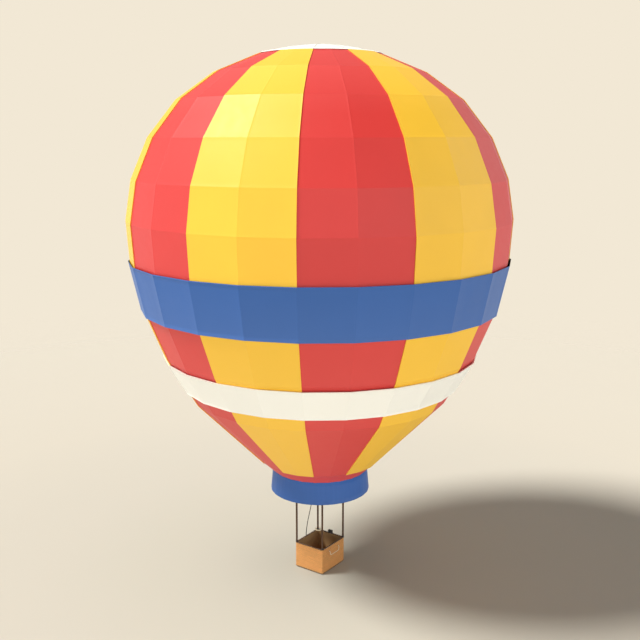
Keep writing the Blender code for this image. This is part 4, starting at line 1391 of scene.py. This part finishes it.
def upright(index, x, y):
    """Leather sleeve over a pole, stitched up one side, tied at intervals, with a cuff at each end."""
    bottom, top = RIM_TOP + CLEARANCE, UPRIGHT_TOP
    inward = math.atan2(-y, -x)
    ties = np.linspace(bottom + TIE_END, top - TIE_END, TIES)
    rows = [np.linspace(bottom, top, SLEEVE_ROWS), ties, ties - TIE_ROW_GAP, ties + TIE_ROW_GAP]
    heights = np.unique(np.concatenate(rows))
    reach = np.full(len(heights), SLEEVE_RADIUS)
    reach[[0, -1]] -= SLEEVE_END_INSET

    def wrinkles(height, angles):
        pinch = sum(np.exp(-(((height - tie) / TIE_PINCH_REACH) ** 2)) for tie in ties)
        folds = np.sin(height * SLEEVE_WRINKLES + SLEEVE_WANDER * np.sin(angles * 2 + index))
        ripples = np.sin(height * SLEEVE_RIPPLES + index) * np.cos(3 * angles)
        seam = SLEEVE_SEAM * (angles == inward)
        return SLEEVE_WRINKLE * folds + SLEEVE_RIPPLE * ripples + seam - TIE_PINCH * pinch

    profile = list(zip(reach, heights))
    grid = turned_rows(profile, (x, y, 0.0), SLEEVE_SIDES, start=inward, wave=wrinkles)
    sleeve = many_grids(f"upright_sleeve_{index + 1}", [grid], "padding")
    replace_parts(sleeve, f"upright_{index + 1}")

    rings = [circle((x, y, tie), TIE_RADIUS, SLEEVE_SIDES, start=inward) for tie in ties]
    trims = [round_bar(ring, TIE_WIRE, sides=6, closed=True) for ring in rings]
    out = np.array([math.cos(inward), math.sin(inward)])
    spot = np.array([x, y]) + SEAM_STITCH_RADIUS * out
    across = SEAM_STITCH_HALF * np.array([-out[1], out[0]])
    low, high = SEAM_STITCH_ENDS
    for height in np.arange(bottom + low, top - high, SEAM_STITCH_PITCH):
        ends = [(*(spot - across), height), (*(spot + across), height + SEAM_STITCH_RISE)]
        trims.append(round_bar(ends, SEAM_STITCH_WIRE, sides=4))
    many_grids(f"upright_ties_{index + 1}", trims, "dark_rope")

    cuffs = []
    for low, high in ((bottom, bottom + CUFF_LOW), (top - CUFF_HIGH, top)):
        profile = [(radius, low + rise) for radius, rise in CUFF_EDGE]
        profile += [(radius, high - rise) for radius, rise in reversed(CUFF_EDGE)]
        cuffs.append(turned_rows(profile, (x, y, 0.0), SLEEVE_SIDES, start=inward))
    many_grids(f"upright_cuffs_{index + 1}", cuffs, "dark_case", smooth=False)


for upright_index, upright_place in enumerate(UPRIGHTS):
    upright(upright_index, *upright_place)


# Ropes and lines


def rope_handle(label, side):
    """Laid rope loop on a long side of the basket, through a leather eyelet at each end."""
    half = [(reach, side * (BASKET_HALF_Y + stand), RIM_TOP - drop) for reach, stand, drop in HANDLE_HALF]
    route = [*((-x, y, z) for x, y, z in half), *half[-2::-1]]
    path = even_points([route[0], *smooth_path(route[1:-1], ROUTE_STEPS), route[-1]], HANDLE_STEP)
    handle = laid_rope(f"handle_rope_{label}", path, HANDLE_ROPE, "rope")
    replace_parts(handle, f"rope_handle_{label}")
    ends = [(x, y + side * EYELET_STAND, z) for x, y, z in (route[0], route[-1])]
    rings = [circle(end, EYELET_RADIUS, count=20, axis="y") for end in ends]
    eyelets = [round_bar(ring, EYELET_WIRE, closed=True) for ring in rings]
    many_grids(f"handle_eyelets_{label}", eyelets, "rim_leather")


def rope_ring():
    path = circle((*ROPE_RING, RIM_TOP + ROPE_RING_WIRE + CLEARANCE), ROPE_RING_RADIUS, count=120)
    ring = laid_rope("ring_rope", path, ROPE_RING_WIRE, "rope", closed=True, lay=ROPE_RING_LAY, sides=8)
    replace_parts(ring, "rope_ring")


def valve_line():
    """Line from the load frame down to the top of the rim."""
    foot = (*LINE_ROUTE[0][:2], RIM_TOP + CLEARANCE)
    path = even_points([*smooth_path(LINE_ROUTE, ROUTE_STEPS)[::-1], foot], LINE_STEP)
    line = bars("valve_cord", [path], LINE_RADIUS, "dark_rope", sides=10)
    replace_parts(line, "valve_line")


rope_handle("front", -1)
rope_handle("back", 1)
rope_ring()
valve_line()


# Cylinders, burner, load frame and instruments


def cylinder_jacket(label, x, y):
    """Quilted jacket over a gas cylinder."""

    def quilt(height, angles):
        sewn = sum(np.exp(-(((height - seam) / QUILT_REACH) ** 2)) for seam in QUILT_SEAMS)
        pucker = QUILT_PUCKER * np.sin(angles * QUILT_PUCKERS + height * QUILT_TWIST)
        return pucker * np.clip(sewn + QUILT_PUCKER_AWAY, 0, 1) - QUILT_DEPTH * sewn - QUILT_SINK

    profile = [(0.0, 0.0), *((CYLINDER_RADIUS - inset, height) for inset, height in JACKET), JACKET_TOP]
    grid = turned_rows(profile, (x, y, CYLINDER_FOOT), JACKET_SIDES, wave=quilt)
    jacket = many_grids(f"cylinder_jacket_{label}", [grid], "padding")
    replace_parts(jacket, f"gas_cylinder_{label}")


def cylinder_straps(label, x, y):
    """Two straps round the jacket, each with a buckle that faces the middle of the basket."""
    inward = math.atan2(-y, -x)
    out = np.array([math.cos(inward), math.sin(inward), 0.0])
    side = np.array([-out[1], out[0], 0.0])
    straps, buckles = [], []
    for height in STRAP_HEIGHTS:
        centre = np.array([x, y, CYLINDER_FOOT + height])
        band = [(CYLINDER_RADIUS + reach, rise) for reach, rise in STRAP_PROFILE]
        straps.append(turned_rows(band, centre, sides=48))
        base = centre + out * (CYLINDER_RADIUS + BUCKLE_STAND)
        ring = [base + side * across + UP * rise for across, rise in BUCKLE]
        outline = even_points([*ring, ring[0]], BUCKLE_STEP)[:-1]
        buckles.append(round_bar(outline, BUCKLE_WIRE, sides=6, closed=True))
        pin = [(ring[0] + ring[3]) / 2, (ring[1] + ring[2]) / 2]
        buckles.append(round_bar(pin, BUCKLE_PIN, sides=6))
    many_grids(f"cylinder_straps_{label}", straps, "dark_webbing")
    many_grids(f"cylinder_buckles_{label}", buckles, "steel")


def cylinder_valve(label, x, y):
    """Valve with its outlet, a guard in two arcs round it, and a hand wheel."""
    foot = np.array([x, y, CYLINDER_FOOT])
    parts = [turned_rows(VALVE_PROFILE, foot, sides=32)]
    for start in (GUARD_GAP, math.pi + GUARD_GAP):
        arc = np.linspace(start, start + math.pi - 2 * GUARD_GAP, GUARD_STEPS + 1)
        top = foot + np.array([polar(GUARD_RADIUS, angle, GUARD_HEIGHT) for angle in arc])
        legs = UP * (GUARD_HEIGHT - GUARD_FOOT)
        guard = even_points([top[0] - legs, *top, top[-1] - legs], GUARD_STEP)
        parts.append(round_bar(guard, GUARD_WIRE))
    inward = math.atan2(-y, -x)
    outlet = [foot + np.array(polar(reach, inward, OUTLET_HEIGHT)) for reach in (0.0, OUTLET_REACH)]
    parts.append(round_bar(outlet, OUTLET_RADIUS, sides=10))
    many_grids(f"cylinder_head_{label}", parts, "alloy")

    def grips(_, angles):
        return WHEEL_GRIP * np.cos(WHEEL_GRIPS * angles)

    centre = foot + UP * WHEEL_HEIGHT
    wheel = circle(centre, WHEEL_RADIUS, count=40, wave=grips)
    knob = [round_bar(wheel, WHEEL_WIRE, closed=True)]
    for tip in circle(centre, WHEEL_RADIUS, SPOKES, start=math.pi / SPOKES):
        knob.append(round_bar([foot + UP * WHEEL_HUB, tip], SPOKE_WIRE, sides=6))
    many_grids(f"cylinder_knob_{label}", knob, "red_knob")


def load_frame_fittings():
    """Sockets that take the pole tops, and the guide for the valve line."""
    inner = [(x - math.copysign(SOCKET_INSET, x), y - math.copysign(SOCKET_INSET, y)) for x, y in UPRIGHTS]
    sockets = [turned_rows(SOCKET, (*corner, FRAME_Z), sides=28) for corner in inner]
    many_grids("frame_sockets", sockets, "alloy")
    x, y, _ = LINE_ROUTE[-2]
    height = FRAME_Z + GUIDE_RISE
    stem = [(x, y + GUIDE_RADIUS, height), (x, UPRIGHTS[0][1], FRAME_Z)]
    ring = circle((x, y, height), GUIDE_RADIUS, count=24)
    guide = [round_bar(ring, GUIDE_WIRE, closed=True), round_bar(stem, GUIDE_STEM)]
    many_grids("line_guide", guide, "steel")


def burner_details(label, side):
    """Jets and lip of one can, and its blast lever, pilot tube and pressure gauge."""
    x, base = side * BURNER_X, FRAME_Z + CAN_BASE

    def route(points):
        return [(x + side * reach, y, FRAME_Z + rise) for reach, y, rise in points]

    def piece(name, parts, paint):
        many_grids(f"{name}_{label}", parts, paint, "burner")

    lip = circle((x, 0.0, base + CAN_LIP_HEIGHT), CAN_RADIUS - CAN_LIP_INSET, count=64)
    plate = turned_rows(JET_PLATE, (x, 0.0, base), sides=40)
    piece("burner_plate", [plate, round_bar(lip, CAN_LIP_WIRE, closed=True)], "burner_steel")
    jets = []
    for radius, count in JET_RINGS:
        places = circle((x, 0.0, base), radius, count)
        jets += [turned_rows(JET, place, sides=10) for place in places]
    piece("burner_jets", jets, "brass")
    lever = route(LEVER)
    piece("blast_lever", [round_bar(smooth_path(lever, LEVER_STEPS), LEVER_WIRE)], "steel")
    grip = smooth_path(lever[-2:], LEVER_STEPS)[LEVER_GRIP_START:]
    piece("lever_grip", [round_bar(grip, LEVER_GRIP, sides=10)], "red_knob")
    piece("pilot_tube", [round_bar(smooth_path(route(PILOT), LEVER_STEPS), PILOT_WIRE)], "brass")
    middle = (x, 0.0, FRAME_Z + GAUGE_HEIGHT)
    piece("burner_gauge", [turned_rows(GAUGE, middle, sides=28, axis="y")], "steel")
    piece("gauge_face", [turned_rows(GAUGE_FACE, middle, sides=28, axis="y")], "dial")


def instrument_details():
    """Screen, two knobs and the straps that hold the instrument box to the rim."""
    outline = rounded_section(*SCREEN_OUTLINE)

    def on_face(stand, scale=1.0):
        return [(BOX_FACE_X - stand, y * scale, BOX_MIDDLE_Z + z * scale) for y, z in outline]

    bezel = round_bar(on_face(BEZEL_STAND), BEZEL_WIRE, sides=6, closed=True)
    many_grids("instrument_bezel", [bezel], "dark_case")
    glass = np.array([on_face(stand, scale) for scale, stand in SCREEN_STANDS])
    many_grids("instrument_screen", [(glass, glass[..., 1:])], "screen")
    places = [(BOX_FACE_X, y, BOX_MIDDLE_Z - KNOB_DROP) for y in KNOB_PLACES]
    knobs = [turned_rows(KNOB, place, sides=20, axis="x") for place in places]
    many_grids("instrument_knobs", knobs, "alloy")

    loop = [(x, RIM_TOP + rise) for x, rise in (*BOX_STRAP, BOX_STRAP[0])]
    cloth = cloth_map([0.0, 2 * BOX_STRAP_HALF], np.arange(len(loop)) * BOX_STRAP_CLOTH)
    straps = []
    for middle in BOX_STRAP_PLACES:
        edges = (middle - BOX_STRAP_HALF, middle + BOX_STRAP_HALF)
        straps.append((np.array([[(x, y, z) for y in edges] for x, z in loop]), cloth))
    strap = grid_object("instrument_straps", straps, "dark_webbing")
    finish_cloth(strap, thickness=BOX_STRAP_THICK, offset=0.0)


for cylinder_label, cylinder_place in CYLINDERS.items():
    cylinder_jacket(cylinder_label, *cylinder_place)
    cylinder_straps(cylinder_label, *cylinder_place)
    cylinder_valve(cylinder_label, *cylinder_place)
load_frame_fittings()
burner_details("left", -1)
burner_details("right", 1)
instrument_details()


def carried_over():
    """Gives every CAD node that stays in view a finished material."""
    finish = {entry["node"]: entry["material_slot"] for entry in frame["record"]["subparts"]}
    for node, obj in frame["nodes"].items():
        if obj.hide_render:
            continue
        paint = "burner_steel" if node.startswith("burner_c") else finish[node]
        obj.data.materials.clear()
        obj.data.materials.append(PAINTS[paint])


carried_over()


# Camera, light and floor


def floor_paint():
    """Pale floor with painted shade: darker near the basket, where the balloon shades it, paler away from
    it. It fades into the backdrop far off.
    """
    paint = Paint("floor", 0.9, specular=0.0)
    place = paint.object_place()
    distance = paint.add("ShaderNodeVectorMath", [(0, place)], operation="LENGTH").outputs["Value"]
    # Painted shade near the basket, paler away from it.
    tones = paint.ramp(paint.math("DIVIDE", distance, FLOOR_REACH), FLOOR_PAINTED_SHADE)
    paint.plug(tones, paint.sockets["Base Color"])
    fade = paint.spread(distance, FADE, (1.0, 0.0), interpolation_type="SMOOTHSTEP")
    paint.plug(fade, paint.sockets["Alpha"])
    return paint.material


def floor():
    mesh = bpy.data.meshes.new("floor")
    shape = bmesh.new()
    bmesh.ops.create_grid(shape, x_segments=1, y_segments=1, size=FLOOR_HALF)
    shape.to_mesh(mesh)
    shape.free()
    obj = bpy.data.objects.new("floor", mesh)
    bpy.context.scene.collection.objects.link(obj)
    obj.location.z = FLOOR_Z
    mesh.materials.append(floor_paint())


def softboxes(sky):
    """Strength of the light by direction: weak all round, strong in front and low at both sides."""
    place = sky.add("ShaderNodeTexCoord").outputs["Generated"]

    def towards(direction):
        vectors = [(0, place), (1, direction)]
        return sky.add("ShaderNodeVectorMath", vectors, operation="DOT_PRODUCT").outputs["Value"]

    rise = sky.math("MULTIPLY_ADD", towards((0.0, 0.0, 1.0)), 0.5, 0.5)
    side = towards((math.cos(CAMERA_YAW), math.sin(CAMERA_YAW), 0.0))
    front = sky.math("MAXIMUM", towards((math.sin(CAMERA_YAW), -math.cos(CAMERA_YAW), 0.0)), 0.0)
    shares = sky.add("ShaderNodeSeparateColor", [(0, sky.ramp(rise, LIGHT_BELTS))]).outputs
    low = sky.math("MULTIPLY_ADD", sky.math("ABSOLUTE", side), SIDE_GLOW, LOW_GLOW)
    low = sky.math("MULTIPLY_ADD", front, FRONT_GLOW, low)
    high = sky.math("MULTIPLY_ADD", sky.math("MAXIMUM", side, 0.0), FILL_GLOW, HIGH_GLOW)
    total = sky.math("MULTIPLY_ADD", shares["Red"], low, shares["Blue"])
    return sky.math("MULTIPLY_ADD", shares["Green"], high, total)


def surroundings():
    """The softboxes light the balloon. The camera sees a plain backdrop instead of them."""
    world = bpy.data.worlds.new("studio")
    bpy.context.scene.world = world
    world.use_nodes = True
    sky = Nodes(world.node_tree)
    sky.tree.nodes.clear()
    seen = sky.add("ShaderNodeBackground", [("Color", (*BACKDROP, 1.0))])
    lit = sky.add("ShaderNodeBackground", [("Color", (*LIGHT_COLOUR, 1.0)), ("Strength", softboxes(sky))])
    path = sky.add("ShaderNodeLightPath")
    mixed = [("Fac", path.outputs["Is Camera Ray"]), (1, lit.outputs[0]), (2, seen.outputs[0])]
    chosen = sky.add("ShaderNodeMixShader", mixed)
    sky.add("ShaderNodeOutputWorld", [("Surface", chosen.outputs[0])])


def sunlight():
    sun = bpy.data.lights.new("sun", "SUN")
    sun.energy = SUN_STRENGTH
    sun.angle = SUN_SOFTNESS
    sun.color = SUN_COLOUR
    lamp = bpy.data.objects.new("sun", sun)
    lamp.rotation_euler = Vector(SUN_TRAVEL).to_track_quat("-Z", "Y").to_euler()
    bpy.context.scene.collection.objects.link(lamp)


def camera():
    data = bpy.data.cameras.new("camera")
    data.lens = LENS
    data.sensor_width = SENSOR
    data.clip_end = CAMERA_REACH
    obj = bpy.data.objects.new("camera", data)
    forward = Vector((-math.sin(CAMERA_YAW), math.cos(CAMERA_YAW), 0.0))
    obj.location = -forward * CAMERA_DISTANCE + Vector((0, 0, CAMERA_RISE - WAIST_DROP))
    obj.rotation_euler = (math.pi / 2 - CAMERA_PITCH, 0.0, CAMERA_YAW)
    bpy.context.scene.collection.objects.link(obj)
    bpy.context.scene.camera = obj


floor()
surroundings()
sunlight()
camera()
bpy.context.scene.view_settings.view_transform = "Standard"
